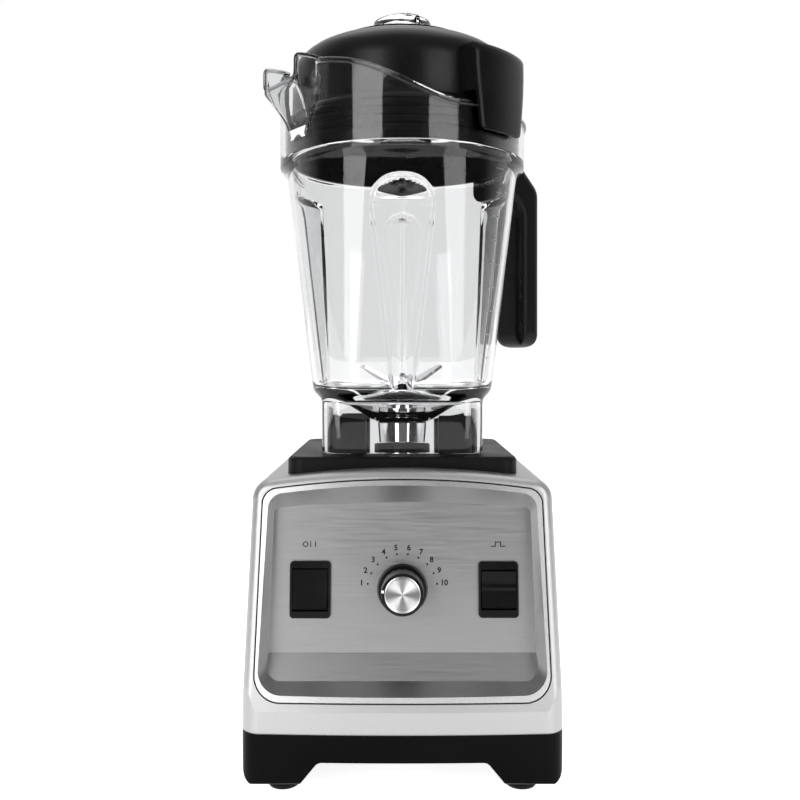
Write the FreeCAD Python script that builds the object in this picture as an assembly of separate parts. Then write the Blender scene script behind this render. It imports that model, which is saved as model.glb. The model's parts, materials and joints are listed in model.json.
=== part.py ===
"""Countertop blender with a 2 litre jar, as separate pieces.

Frame: millimetres, +Z up, origin on the drive axis at the surface the feet stand on.
The control panel faces -Y and +X is to the right of a person facing the panel.
Each piece is written to parts/NAME.step.
"""

import FreeCAD, Part
import math
import os

from FreeCAD import Matrix, Placement, Rotation, Vector

os.makedirs("parts", exist_ok=True)

# ---------------------------------------------------------------- driving dimensions, mm
TOTAL_HEIGHT = 500.0

# base: tray, housing and the faces they share
TRAY_BOTTOM_Z, TRAY_TOP_Z = 10.0, 40.0
TRAY_HALF_BOTTOM, TRAY_HALF_TOP = 95.2, 96.3
TRAY_FRONT_Y, TRAY_BACK_Y = -105.6, 101.5
TRAY_CORNER_FRONT, TRAY_CORNER_BACK = 12.0, 7.0
TRAY_WALL = 3.0
ARCH_TOP_Z, ARCH_HALF_BOTTOM, ARCH_HALF_TOP = 24.0, 61.6, 50.0

HOUSING_HALF_BOTTOM, HOUSING_SIDE_LEAN = 96.2, 0.027
HOUSING_FRONT_Y, HOUSING_FRONT_LEAN = -107.0, 0.1586
HOUSING_BACK_Y, HOUSING_BACK_LEAN = 101.0, 0.076
HOUSING_TOP_Z = 193.4
BAND_FRONT_Y, BAND_CORNER = -104.9, 12.0
HOUSING_WALL = 2.5
HOUSING_ARCH_RADIUS = 560.0
FRONT_BULGE_RADIUS = 1500.0
HOUSING_FRONT_ROUND, HOUSING_BACK_ROUND = 6.4, 8.0

# bezel opening, measured in from the housing's outline
BEZEL_INSET_SIDE, BEZEL_INSET_TOP, BEZEL_BOTTOM_Z = 6.9, 5.5, 58.2
BEZEL_CORNER_TOP, BEZEL_CORNER_BOTTOM = 10.0, 16.0
BEZEL_GAP = 0.45

# sheet-metal panel: its lean, the fold at its foot and the front edge of its apron
PANEL_TOP = (-72.2, 172.0)
PANEL_FOLD = (-80.0, 81.0)
APRON_EDGE = (-88.0, 66.2)
PANEL_SHEET = 1.5
PANEL_HALF_TOP, PANEL_HALF_BOTTOM = 79.4, 80.4
CONTROL_Z = 119.0

# the flared recess in front of the panel, between two upright planes
FUNNEL_Y = (-70.0, -114.0)
FUNNEL_SILL_SLOPE = 0.28
FUNNEL_BOTTOM_Z = APRON_EDGE[1] + FUNNEL_SILL_SLOPE * (FUNNEL_Y[0] - APRON_EDGE[0])
FUNNEL_TOP_Z = 166.6
APRON_SHEET = 1.6

# controls, in the panel's own plane
POWER_X, POWER_FRAME, POWER_ROCKER = -57.0, (25.4, 34.8), (21.2, 25.4)
PULSE_X, PULSE_FRAME, PULSE_ROCKER = 59.4, (24.8, 34.3), (21.0, 23.8)
SWITCH_DEPTH, SWITCH_FRAME_RISE = 22.0, 2.2
POWER_REST_TILT, PULSE_REST_TILT = -10.0, -7.0
KNOB_SKIRT_R, KNOB_BODY_R, KNOB_TOP_R, KNOB_HEIGHT = 15.75, 13.7, 12.6, 20.4
KNOB_FLUTES = 20
KNOB_CAP_R = 10.9
POINTER_REST_ANGLE = 171.2

# feet
FOOT_R, FOOT_X, FOOT_Y = 10.25, 73.0, 78.0

# top cap and centring pad
CAP_HALF_X, CAP_HALF_Y, CAP_CORNER, CAP_TOP_Z = 73.0, 68.0, 10.0, 200.0
PAD_HALF, PAD_THICK = 48.0, 3.0
POST_IN, POST_OUT, POST_TOP_Z = 24.0, 45.5, 225.0
SOCKET_WELL_R = 20.6

# motor and drive, all on one upright axis, which every dimension here is measured from;
# the saved part has its origin under the middle of its outline, this far to the axis's +X side
DRIVE_AXIS_X = -1.6
SHAFT_R, SHAFT_BOTTOM_Z, SHAFT_TOP_Z = 5.0, 47.0, 196.0
RUNNING = 0.05
MOTOR_HALF, MOTOR_BOLT = 46.0, 41.0
ARMATURE_R, ARMATURE_Z = 24.0, (92.0, 128.0)
COMMUTATOR_R, COMMUTATOR_Z = 13.0, (62.0, 76.0)
BEARING_R, BEARING_WIDTH = 11.0, 7.0
LOWER_BEARING_Z, UPPER_BEARING_Z = 50.5, 166.5
FAN_R, FAN_Z = 38.0, 146.0
SOCKET_R, SOCKET_Z = 19.4, (191.0, 208.4)
SPLINE_TEETH, SPLINE_R, SPLINE_Z = 6, 7.4, (197.0, 209.0)

# jar
JAR_FOOT_Z, JAR_FOOT_HALF, JAR_FOOT_CORNER, JAR_WALL = 200.3, 53.0, 14.0, 3.0
BODY_BOTTOM = (60.0, 34.0, 241.0)
BODY_TOP = (79.2, 66.0, 393.0)
COLLAR_R, COLLAR_BOTTOM_Z = 85.0, 393.0
RIM_LOW_Z, RIM_HIGH_Z, RIM_START_U, RIM_END_U = 423.0, 454.5, 18.0, 95.0
RIM_FLANGE_R, RIM_FLANGE_THICK = 86.6, 3.0
FLOOR_Z = 226.0
SPOUT_AZIMUTH = 217.0
SPOUT_REACH, SPOUT_HALF, SPOUT_FLOOR_Z, SPOUT_WING_Z, SPOUT_WALL = 99.0, 20.8, 437.3, 451.5, 2.2
BAFFLE_ARCH_R, BAFFLE_ARCH_Z, BAFFLE_FLAT = 18.5, 358.5, 1.2

# handle, opposite the spout; u is its distance from the drive axis
HANDLE_AZIMUTH = 37.0
GRIP_IN, GRIP_OUT, GRIP_HALF_WIDTH, GRIP_BOTTOM_Z = 101.6, 122.4, 16.4, 270.5
LUG_OUT, LUG_HALF, LUG_Z = 96.0, 8.0, (390.0, 410.0)

# lid and plug
LID_BOTTOM_Z, LID_SKIRT_R, LID_CROWN_R = 397.2, 81.5, 76.0
FLAP_AZIMUTHS = (-43.3, 136.7)
FLAP_IN, FLAP_OUT = 87.0, 90.4
PLUG_HOLE_R, PLUG_R = 20.5, 20.1
NECK_R, NECK_Z = 24.0, (470.5, 480.2)
PLUG_SCALLOPS = (-75.0, 45.0, 165.0)


# ---------------------------------------------------------------- shared shapes
def save(name, *solids):
    """Write one node: a single solid, or a compound of separate ones."""
    shape = solids[0] if len(solids) == 1 else Part.makeCompound(list(solids))
    if len(shape.Solids) == 1:
        shape = shape.Solids[0]
    shape = shape.copy()
    shape.translate(Vector(DRIVE_AXIS_X, 0, 0))
    shape.exportStep("parts/" + name + ".step")


def box(x0, x1, y0, y1, z0, z1):
    return Part.makeBox(x1 - x0, y1 - y0, z1 - z0, Vector(x0, y0, z0))


def cylinder(r, z0, z1, x=0.0, y=0.0):
    return Part.makeCylinder(r, z1 - z0, Vector(x, y, z0))


def ring(r_out, r_in, z0, z1, x=0.0, y=0.0):
    return cylinder(r_out, z0, z1, x, y).cut(cylinder(r_in, z0 - 1, z1 + 1, x, y))


def cone(r0, z0, r1, z1):
    return Part.makeCone(r0, r1, z1 - z0, Vector(0, 0, z0))


def prism(points, direction):
    """A flat polygon pushed along a direction."""
    corners = [Vector(*p) for p in points]
    face = Part.Face(Part.makePolygon(corners + corners[:1]))
    return face.extrude(Vector(*direction))


def side_prism(points, half):
    """An outline in the Y-Z plane, pushed across X."""
    return prism([(-half, y, z) for y, z in points], (2 * half, 0, 0))


def turned(points):
    """A closed outline of (radius, height) points turned about the drive axis."""
    corners = [Vector(r, 0, z) for r, z in points]
    face = Part.Face(Part.makePolygon(corners + corners[:1]))
    return face.revolve(Vector(0, 0, 0), Vector(0, 0, 1), 360)


def rounded_rectangle(half_x, half_y, corner, z):
    """A wire of four lines and four corner arcs at height z."""
    edges = []
    diagonal = corner * (1 - math.sqrt(0.5))
    for sx, sy in ((1, -1), (1, 1), (-1, 1), (-1, -1)):
        ahead = Vector(sx * (half_x - corner), sy * half_y, z)
        aside = Vector(sx * half_x, sy * (half_y - corner), z)
        start, end = (ahead, aside) if sx * sy < 0 else (aside, ahead)
        middle = Vector(sx * (half_x - diagonal), sy * (half_y - diagonal), z)
        edges.append((start, middle, end))
    wire = []
    for i, (start, middle, end) in enumerate(edges):
        wire.append(Part.Arc(start, middle, end).toShape())
        wire.append(Part.LineSegment(end, edges[(i + 1) % 4][0]).toShape())
    return Part.Wire(wire)


def rounded_block(half_x, half_y, corner, z0, z1):
    face = Part.Face(rounded_rectangle(half_x, half_y, corner, z0))
    return face.extrude(Vector(0, 0, z1 - z0))


def loft(sections):
    return Part.makeLoft(sections, True, True)


def left_half(shape):
    return shape.common(Part.makeBox(400, 800, 800, Vector(-400, -400, -200)))


def both_halves(left):
    """A symmetrical shape from the half of it at negative x."""
    return left.fuse(left.mirror(Vector(0, 0, 0), Vector(1, 0, 0))).removeSplitter()


def fillet(shape, radius, wanted):
    """Round the edges whose middle point passes the test."""
    edges = [e for e in shape.Edges if wanted(e.valueAt(0.5 * (e.FirstParameter + e.LastParameter)))]
    return shape.makeFillet(radius, edges)


def fused(shapes):
    result = shapes[0]
    for shape in shapes[1:]:
        result = result.fuse(shape)
    return result.removeSplitter()


def around(shape, degrees):
    """A copy of the shape turned about the drive axis."""
    turned_shape = shape.copy()
    turned_shape.rotate(Vector(0, 0, 0), Vector(0, 0, 1), degrees)
    return turned_shape


def four_corners(x, y):
    return [(sx * x, sy * y) for sx in (-1, 1) for sy in (-1, 1)]


# ---------------------------------------------------------------- the base's outer form
def housing_half(z):
    return HOUSING_HALF_BOTTOM - HOUSING_SIDE_LEAN * (z - TRAY_TOP_Z)


def arched_prism(inset_side, inset_top, bottom_z, corner_top, corner_bottom, y0, y1):
    """The front outline of the housing, drawn in, pushed along Y, with rounded corners."""
    crown = HOUSING_TOP_Z - inset_top
    radius = HOUSING_ARCH_RADIUS - inset_top
    half_top = housing_half(crown - 10) - inset_side
    half_bottom = housing_half(bottom_z) - inset_side
    shoulder = crown - radius + math.sqrt(radius**2 - half_top**2)
    corners = [
        Vector(half_top, y0, shoulder),
        Vector(half_bottom, y0, bottom_z),
        Vector(-half_bottom, y0, bottom_z),
        Vector(-half_top, y0, shoulder),
    ]
    edges = [Part.LineSegment(a, b).toShape() for a, b in zip(corners, corners[1:])]
    edges.append(Part.Arc(corners[3], Vector(0, y0, crown), corners[0]).toShape())
    block = Part.Face(Part.Wire(edges)).extrude(Vector(0, y1 - y0, 0))
    middle = 0.5 * (y0 + y1)

    def long_edge(p, top):
        return abs(p.y - middle) < 1 and (p.z > 120) == top

    block = fillet(block, corner_top, lambda p: long_edge(p, True))
    if corner_bottom:
        block = fillet(block, corner_bottom, lambda p: long_edge(p, False))
    return block


def bulged_slab(front_y, lean, z0, z1):
    """Everything behind a front face that bulges in plan and leans back."""
    half = 150.0
    rise = FRONT_BULGE_RADIUS - math.sqrt(FRONT_BULGE_RADIUS**2 - half**2)
    left, right = Vector(-half, front_y + rise, z0), Vector(half, front_y + rise, z0)
    back_right, back_left = Vector(half, 160, z0), Vector(-half, 160, z0)
    edges = [
        Part.Arc(left, Vector(0, front_y, z0), right).toShape(),
        Part.LineSegment(right, back_right).toShape(),
        Part.LineSegment(back_right, back_left).toShape(),
        Part.LineSegment(back_left, left).toShape(),
    ]
    height = z1 - z0
    return Part.Face(Part.Wire(edges)).extrude(Vector(0, lean * height, height))


def plan_prism(front_y, back_y, half, corner_front, corner_back, z0, z1):
    """An upright block whose front bulges slightly and whose corners are rounded in plan."""
    centre = Vector(0, front_y + FRONT_BULGE_RADIUS, z0)
    reach = FRONT_BULGE_RADIUS - corner_front
    cx = half - corner_front
    cy = centre.y - math.sqrt(reach**2 - cx**2)
    start = math.atan2(cy - centre.y, cx)

    def at(angle):
        return Vector(cx + corner_front * math.cos(angle), cy + corner_front * math.sin(angle), z0)

    def mirrored(p):
        return Vector(-p.x, p.y, p.z)

    touch, bend, side = at(start), at(0.5 * start), at(0)
    edges = [
        Part.Arc(mirrored(touch), Vector(0, front_y, z0), touch).toShape(),
        Part.Arc(touch, bend, side).toShape(),
        Part.LineSegment(side, Vector(half, back_y - corner_back, z0)).toShape(),
    ]
    if corner_back:
        cut = corner_back * (1 - math.sqrt(0.5))
        for s in (1, -1):
            ends = [Vector(s * half, back_y - corner_back, z0), Vector(s * (half - corner_back), back_y, z0)]
            middle = Vector(s * (half - cut), back_y - cut, z0)
            edges.append(Part.Arc(ends[0], middle, ends[1]).toShape())
    back = half - corner_back
    edges.append(Part.LineSegment(Vector(back, back_y, z0), Vector(-back, back_y, z0)).toShape())
    edges.append(Part.LineSegment(Vector(-half, back_y - corner_back, z0), mirrored(side)).toShape())
    edges.append(Part.Arc(mirrored(side), mirrored(bend), mirrored(touch)).toShape())
    outline = Part.Wire(Part.__sortEdges__(edges))
    return Part.Face(outline).extrude(Vector(0, 0, z1 - z0))


def housing_block(inset, rounded):
    """The housing's outer form, or the space inside it at the given wall thickness."""
    z0, z1 = TRAY_TOP_Z, 215.0
    front = arched_prism(inset, inset, z0, 12.0 - inset, 0, -150, 150)
    bulge = bulged_slab(HOUSING_FRONT_Y + inset, HOUSING_FRONT_LEAN, z0, z1)
    back = HOUSING_BACK_Y - inset
    side = [(-200, z0), (back, z0), (back - HOUSING_BACK_LEAN * (z1 - z0), z1), (-200, z1)]
    block = front.common(bulge).common(side_prism(side, 150))
    if rounded:
        block = fillet(block, HOUSING_FRONT_ROUND, lambda p: p.y < -60 and p.z > z0 + 1)
        block = fillet(block, HOUSING_BACK_ROUND, lambda p: p.y > 60 and p.z > z0 + 1)
    half = HOUSING_HALF_BOTTOM + 0.2 - inset
    return block.common(plan_prism(BAND_FRONT_Y + inset, 160, half, BAND_CORNER - inset, 0, z0 - 1, z1))


def tray_block(inset):
    z0, z1 = TRAY_BOTTOM_Z + inset, TRAY_TOP_Z
    front, back = TRAY_FRONT_Y + inset, TRAY_BACK_Y - inset
    half0, half1 = TRAY_HALF_BOTTOM - inset, TRAY_HALF_TOP - inset
    outline = [(-half0, -150, z0), (half0, -150, z0), (half1, -150, z1), (-half1, -150, z1)]
    block = prism(outline, (0, 300, 0))
    block = fillet(block, 7.0 - inset, lambda p: abs(p.y) < 1 and p.z < z0 + 1)
    corners = TRAY_CORNER_FRONT - inset, TRAY_CORNER_BACK - inset
    block = block.common(plan_prism(front, back, half1, *corners, z0 - 1, z1))
    keel = side_prism([(front, z0), (back, z0), (back, z1), (front, z1)], 150)
    return block.common(fillet(keel, 5.5 - inset, lambda p: abs(p.x) < 1 and p.z < z0 + 1))


def arch_channel(offset):
    """The air channel under the tray, from front to back; offset gives its roof's thickness."""
    top, low = ARCH_TOP_Z + offset, TRAY_BOTTOM_Z - 5
    spread = (ARCH_HALF_BOTTOM - ARCH_HALF_TOP) / (ARCH_TOP_Z - TRAY_BOTTOM_Z)
    half_top = ARCH_HALF_TOP + 1.2 * offset
    half_low = half_top + spread * (top - low)
    outline = [(-half_low, -150, low), (half_low, -150, low), (half_top, -150, top), (-half_top, -150, top)]
    return fillet(prism(outline, (0, 300, 0)), 5.0, lambda p: abs(p.y) < 1 and p.z > top - 1)


# ---------------------------------------------------------------- base shell pieces
SCREW_X, SCREW_Y = 89.0, 60.0
GLAND_X, GLAND_Z = 70.0, 26.0


def along_y(r, y0, y1, x, z):
    return Part.makeCylinder(r, y1 - y0, Vector(x, y0, z), Vector(0, 1, 0))


def base_tray():
    shell = tray_block(0).cut(arch_channel(0))
    shell = shell.cut(tray_block(TRAY_WALL).cut(arch_channel(TRAY_WALL)))
    for x, y in four_corners(SCREW_X, SCREW_Y):
        shell = shell.fuse(cylinder(5.0, 12, TRAY_TOP_Z, x, y))
    for x, y in four_corners(SCREW_X, SCREW_Y):
        shell = shell.cut(cylinder(2.0, 5, 45, x, y)).cut(cylinder(4.2, 5, 16, x, y))
    for x, y in four_corners(FOOT_X, FOOT_Y):
        shell = shell.cut(cylinder(4.0, 5, 20, x, y))
    for i in range(6):
        y = -45 + 18 * i
        shell = shell.cut(box(-30, 30, y, y + 5, 20, 30))
    save("base_tray", shell.cut(along_y(6.1, 90, 120, GLAND_X, GLAND_Z)))


def housing():
    shell = housing_block(0, True).cut(housing_block(HOUSING_WALL, False))
    opening = arched_prism(
        BEZEL_INSET_SIDE - BEZEL_GAP, BEZEL_INSET_TOP - BEZEL_GAP, BEZEL_BOTTOM_Z - BEZEL_GAP,
        BEZEL_CORNER_TOP, BEZEL_CORNER_BOTTOM, -150, -60
    )
    shell = both_halves(left_half(shell).cut(opening)).cut(cylinder(30.4, 170, 200))
    for sx in (-1, 1):
        for y in (-SCREW_Y, SCREW_Y):
            ends = sorted((sx * 83.5, sx * (housing_half(54) - 0.8)))
            boss = box(*ends, y - 6, y + 6, TRAY_TOP_Z, 54)
            shell = shell.fuse(boss.cut(cylinder(1.95, 39, 50, sx * SCREW_X, y)))
    for i in range(7):
        z = 66 + 7 * i
        shell = shell.cut(box(-45, 45, 85, 110, z, z + 3.2))
    save("housing", shell)


def feet():
    for name, x, y in (
        ("foot_front_left", -FOOT_X, -FOOT_Y),
        ("foot_front_right", FOOT_X, -FOOT_Y),
        ("foot_rear_left", -FOOT_X, FOOT_Y),
        ("foot_rear_right", FOOT_X, FOOT_Y),
    ):
        pad = Part.makeCone(FOOT_R - 1.2, FOOT_R, 2.0, Vector(x, y, 0))
        pad = pad.fuse(cylinder(FOOT_R, 2, TRAY_BOTTOM_Z, x, y))
        save(name, pad.fuse(cylinder(3.9, TRAY_BOTTOM_Z, 15, x, y)).removeSplitter())


def base_screws():
    screws = []
    for x, y in four_corners(SCREW_X, SCREW_Y):
        head = cylinder(3.8, 13.5, 16, x, y)
        screws.append(head.fuse(cylinder(1.9, 16, 48, x, y)).removeSplitter())
    save("base_screws", *screws)


def cord_gland():
    flange = along_y(8.0, TRAY_BACK_Y, TRAY_BACK_Y + 2.5, GLAND_X, GLAND_Z)
    barrel = along_y(6.0, 90, TRAY_BACK_Y, GLAND_X, GLAND_Z)
    nose = Part.makeCone(6.5, 5.2, 3.0, Vector(GLAND_X, TRAY_BACK_Y + 2.5, GLAND_Z), Vector(0, 1, 0))
    gland = barrel.fuse(flange).fuse(nose)
    save("cord_gland", gland.cut(along_y(3.8, 80, 120, GLAND_X, GLAND_Z)))


# ---------------------------------------------------------------- panel and bezel
def panel_lean():
    return math.degrees(math.atan2(PANEL_TOP[0] - PANEL_FOLD[0], PANEL_TOP[1] - PANEL_FOLD[1]))


def panel_y(z):
    run = (PANEL_TOP[0] - PANEL_FOLD[0]) / (PANEL_TOP[1] - PANEL_FOLD[1])
    return PANEL_FOLD[0] + run * (z - PANEL_FOLD[1])


def on_panel(shape, x=0.0):
    """Move a shape from the panel's own plane (x across, y up, z out) to its place."""
    placed = shape.copy()
    turn = Rotation(Vector(1, 0, 0), 90 - panel_lean())
    placed.Placement = Placement(Vector(x, panel_y(CONTROL_Z), CONTROL_Z), turn).multiply(placed.Placement)
    return placed


def recess_funnel():
    """The flared space in front of the panel: its outline grows towards the front."""
    sections = []
    for y in FUNNEL_Y:
        depth = FUNNEL_Y[0] - y
        half_bottom, half_top = PANEL_HALF_BOTTOM + 0.2 * depth, PANEL_HALF_TOP + 0.2 * depth
        bottom, top = FUNNEL_BOTTOM_Z - FUNNEL_SILL_SLOPE * depth, FUNNEL_TOP_Z + depth
        crown = top + 3.6
        r_top, r_low = 3.0 + 0.5 * depth, 3.2 + 0.35 * depth
        cut = math.sqrt(0.5)
        edges = [
            Part.Arc(Vector(-half_top + r_top, y, top), Vector(0, y, crown), Vector(half_top - r_top, y, top)),
            Part.Arc(
                Vector(half_top - r_top, y, top),
                Vector(half_top - r_top * (1 - cut), y, top - r_top * (1 - cut)),
                Vector(half_top, y, top - r_top),
            ),
            Part.LineSegment(Vector(half_top, y, top - r_top), Vector(half_bottom, y, bottom + r_low)),
            Part.Arc(
                Vector(half_bottom, y, bottom + r_low),
                Vector(half_bottom - r_low * (1 - cut), y, bottom + r_low * (1 - cut)),
                Vector(half_bottom - r_low, y, bottom),
            ),
            Part.LineSegment(Vector(half_bottom - r_low, y, bottom), Vector(-half_bottom + r_low, y, bottom)),
            Part.Arc(
                Vector(-half_bottom + r_low, y, bottom),
                Vector(-half_bottom + r_low * (1 - cut), y, bottom + r_low * (1 - cut)),
                Vector(-half_bottom, y, bottom + r_low),
            ),
            Part.LineSegment(Vector(-half_bottom, y, bottom + r_low), Vector(-half_top, y, top - r_top)),
            Part.Arc(
                Vector(-half_top, y, top - r_top),
                Vector(-half_top + r_top * (1 - cut), y, top - r_top * (1 - cut)),
                Vector(-half_top + r_top, y, top),
            ),
        ]
        sections.append(Part.Wire([e.toShape() for e in edges]))
    return loft(sections)


def front_bezel(funnel):
    block = arched_prism(
        BEZEL_INSET_SIDE + BEZEL_GAP, BEZEL_INSET_TOP + BEZEL_GAP, BEZEL_BOTTOM_Z + BEZEL_GAP,
        BEZEL_CORNER_TOP - 2 * BEZEL_GAP, BEZEL_CORNER_BOTTOM - 2 * BEZEL_GAP, -150, -60
    )
    block = left_half(block.common(housing_block(0, False)))
    behind = side_prism(
        [(panel_y(50), 50), (panel_y(200), 200), (0, 200), (0, 50)], 150
    )
    block = block.cut(behind)
    edge_y, edge_z = APRON_EDGE
    fold_y, fold_z = PANEL_FOLD
    below = edge_z - 20
    void = [(-125, below), (edge_y, below), (edge_y, edge_z), (edge_y + APRON_SHEET, edge_z),
            (fold_y + APRON_SHEET, fold_z), (-60, fold_z), (-60, 230), (-125, 230)]
    save("front_bezel", both_halves(block.cut(side_prism(void, 150).common(funnel))))


def front_panel(funnel):
    half_low, half_top = PANEL_HALF_BOTTOM + 5.0, PANEL_HALF_TOP + 4.5
    scale = 1 / math.cos(math.radians(panel_lean()))
    low = (PANEL_FOLD[1] - CONTROL_Z) * scale
    high = (178.0 - CONTROL_Z) * scale
    plate = prism(
        [(-half_low, low, -PANEL_SHEET), (half_low, low, -PANEL_SHEET), (half_top, high, -PANEL_SHEET),
         (-half_top, high, -PANEL_SHEET)],
        (0, 0, PANEL_SHEET),
    )
    plate = fillet(plate, 8.0, lambda p: p.y > high - 0.1 and abs(p.x) > 80)
    for x, frame in ((POWER_X, POWER_FRAME), (PULSE_X, PULSE_FRAME)):
        half_x, half_y = 0.5 * frame[0] - 0.6, 0.5 * frame[1] - 1.8
        plate = plate.cut(box(x - half_x, x + half_x, -half_y, half_y, -5, 5))
    plate = on_panel(plate.cut(cylinder(4.6, -5, 5)))
    fold_y, fold_z = PANEL_FOLD
    edge_y, edge_z = APRON_EDGE
    apron = side_prism(
        [(fold_y, fold_z), (edge_y, edge_z), (edge_y + APRON_SHEET, edge_z), (fold_y + APRON_SHEET, fold_z)], 150
    )
    apron = apron.common(funnel)
    save("front_panel", plate.fuse(apron).removeSplitter())


# ---------------------------------------------------------------- controls
def rocker_switch(name, x, frame, rocker, rest_tilt, ridge):
    """A panel-mounted rocker switch: its fixed body, and the rocker that tilts in it."""
    half_x, half_y = 0.5 * frame[0], 0.5 * frame[1]
    face = rounded_block(half_x, half_y, 2.5, 0, SWITCH_FRAME_RISE)
    face = fillet(face, 1.0, lambda p: p.z > SWITCH_FRAME_RISE - 0.1)
    body = face.fuse(box(0.7 - half_x, half_x - 0.7, 1.9 - half_y, half_y - 1.9, -SWITCH_DEPTH, 0))
    pivot = -1.0
    swing = 0.5 * rocker[1]
    well = box(-0.5 * rocker[0] - 0.4, 0.5 * rocker[0] + 0.4, -swing - 0.4, swing + 0.4, pivot, 10)
    barrel = Part.makeCylinder(swing + 0.4, rocker[0] + 0.8, Vector(-0.5 * rocker[0] - 0.4, 0, pivot), Vector(1, 0, 0))
    body = body.cut(well).cut(barrel)
    for side in (-6.0, 6.0):
        body = body.fuse(box(side - 2.4, side + 2.4, -0.4, 0.4, -SWITCH_DEPTH - 7, -SWITCH_DEPTH))
    save(name + "_switch_body", on_panel(body.removeSplitter(), x))

    outline = [(-swing, 4.4), (0, 2.4), (swing, 4.4), (swing, -3), (5, -7), (-5, -7), (-swing, -3)]
    if ridge:
        outline[1:2] = [(-1.0, 2.6), (1.0, 4.2), (3.2, 4.2), (4.6, 3.2)]
    tilting = side_prism(outline, 0.5 * rocker[0])
    barrel = Part.makeCylinder(swing, rocker[0], Vector(-0.5 * rocker[0], 0, pivot), Vector(1, 0, 0))
    tilting = tilting.common(barrel)
    tilting.rotate(Vector(0, 0, pivot), Vector(1, 0, 0), rest_tilt)
    save(name + "_rocker", on_panel(tilting, x))


def speed_control():
    skirt = Part.makeCone(KNOB_SKIRT_R, KNOB_SKIRT_R - 0.9, 2.6, Vector(0, 0, 0.8))
    body = Part.makeCone(KNOB_BODY_R, KNOB_TOP_R, KNOB_HEIGHT - 3.4, Vector(0, 0, 3.4))
    knob = skirt.fuse(body)
    for i in range(KNOB_FLUTES):
        angle = 2 * math.pi * i / KNOB_FLUTES
        reach = KNOB_BODY_R + 1.0
        knob = knob.cut(cylinder(1.5, 3.4, 30, reach * math.cos(angle), reach * math.sin(angle)))
    knob = knob.cut(cylinder(10.0, 0, 7)).cut(cylinder(3.05, 0, 15))
    knob = knob.cut(cylinder(KNOB_CAP_R + 0.05, KNOB_HEIGHT - 1.0, 30))
    mark = box(KNOB_CAP_R + 0.4, KNOB_BODY_R + 1.3, -0.75, 0.75, KNOB_HEIGHT - 2.2, KNOB_HEIGHT)
    mark = mark.common(Part.makeCone(KNOB_BODY_R, KNOB_TOP_R, KNOB_HEIGHT - 3.4, Vector(0, 0, 3.4)))
    mark.rotate(Vector(0, 0, 0), Vector(0, 0, 1), POINTER_REST_ANGLE)
    save("speed_knob", on_panel(knob.cut(mark).removeSplitter()))
    save("knob_pointer", on_panel(mark))
    save("knob_cap", on_panel(cylinder(KNOB_CAP_R, KNOB_HEIGHT - 1.0, KNOB_HEIGHT + 0.2)))
    save("potentiometer_shaft", on_panel(cylinder(3.0, -10, 14.5)))

    bushing = cylinder(8.5, -15, -1.6).fuse(cylinder(4.5, -1.6, 5.0))
    bushing = bushing.cut(cylinder(3.0 + RUNNING, -10.5, 10))
    save("potentiometer_body", on_panel(bushing.removeSplitter()))
    hexagon = [(7 * math.cos(math.radians(60 * i)), 7 * math.sin(math.radians(60 * i)), 0) for i in range(6)]
    nut = prism(hexagon, (0, 0, 2.4)).cut(cylinder(4.55, -1, 4))
    save("potentiometer_nut", on_panel(nut))


def electronics():
    save("speed_board", box(-38, 38, -59.6, -58, 95, 165))
    sink = box(-20, 20, -58, -56, 130, 162)
    for i in range(7):
        x = -20 + 38 / 6 * i
        sink = sink.fuse(box(x, x + 2, -56, -50, 130, 162))
    save("heat_sink", sink.removeSplitter())


# ---------------------------------------------------------------- top cap and pad
def top_cap():
    cap = rounded_block(CAP_HALF_X, CAP_HALF_Y, CAP_CORNER, 180, CAP_TOP_Z)
    cap = fillet(cap, 3.0, lambda p: p.z > CAP_TOP_Z - 0.1)
    cap = cap.cut(housing_block(0, False))
    cap = cap.fuse(cylinder(30, 178, HOUSING_TOP_Z + 2))
    cap = cap.cut(rounded_block(PAD_HALF + 0.05, PAD_HALF + 0.05, 12, CAP_TOP_Z - PAD_THICK, 210))
    cap = cap.cut(cylinder(SOCKET_WELL_R, 189.5, 210)).cut(cylinder(8, 170, 210))
    save("top_cap", cap.removeSplitter())


def centring_pad():
    pad = rounded_block(PAD_HALF, PAD_HALF, 12, CAP_TOP_Z - PAD_THICK, CAP_TOP_Z)
    post = box(POST_IN, POST_OUT, POST_IN, POST_OUT, CAP_TOP_Z, POST_TOP_Z)
    post = fillet(post, 5.0, lambda p: p.x > POST_OUT - 1 and p.y > POST_OUT - 1 and p.z < POST_TOP_Z - 1)
    slope = prism(
        [(0, 0, POST_TOP_Z - 6), (POST_OUT, 0, POST_TOP_Z), (POST_OUT, 0, POST_TOP_Z + 9), (0, 0, POST_TOP_Z + 9)],
        (0, 60, 0),
    )
    post = post.cut(slope)
    for quarter in range(4):
        pad = pad.fuse(around(post, 90 * quarter))
    save("centring_pad", pad.cut(cylinder(SOCKET_WELL_R, 190, 210)).removeSplitter())


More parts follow.
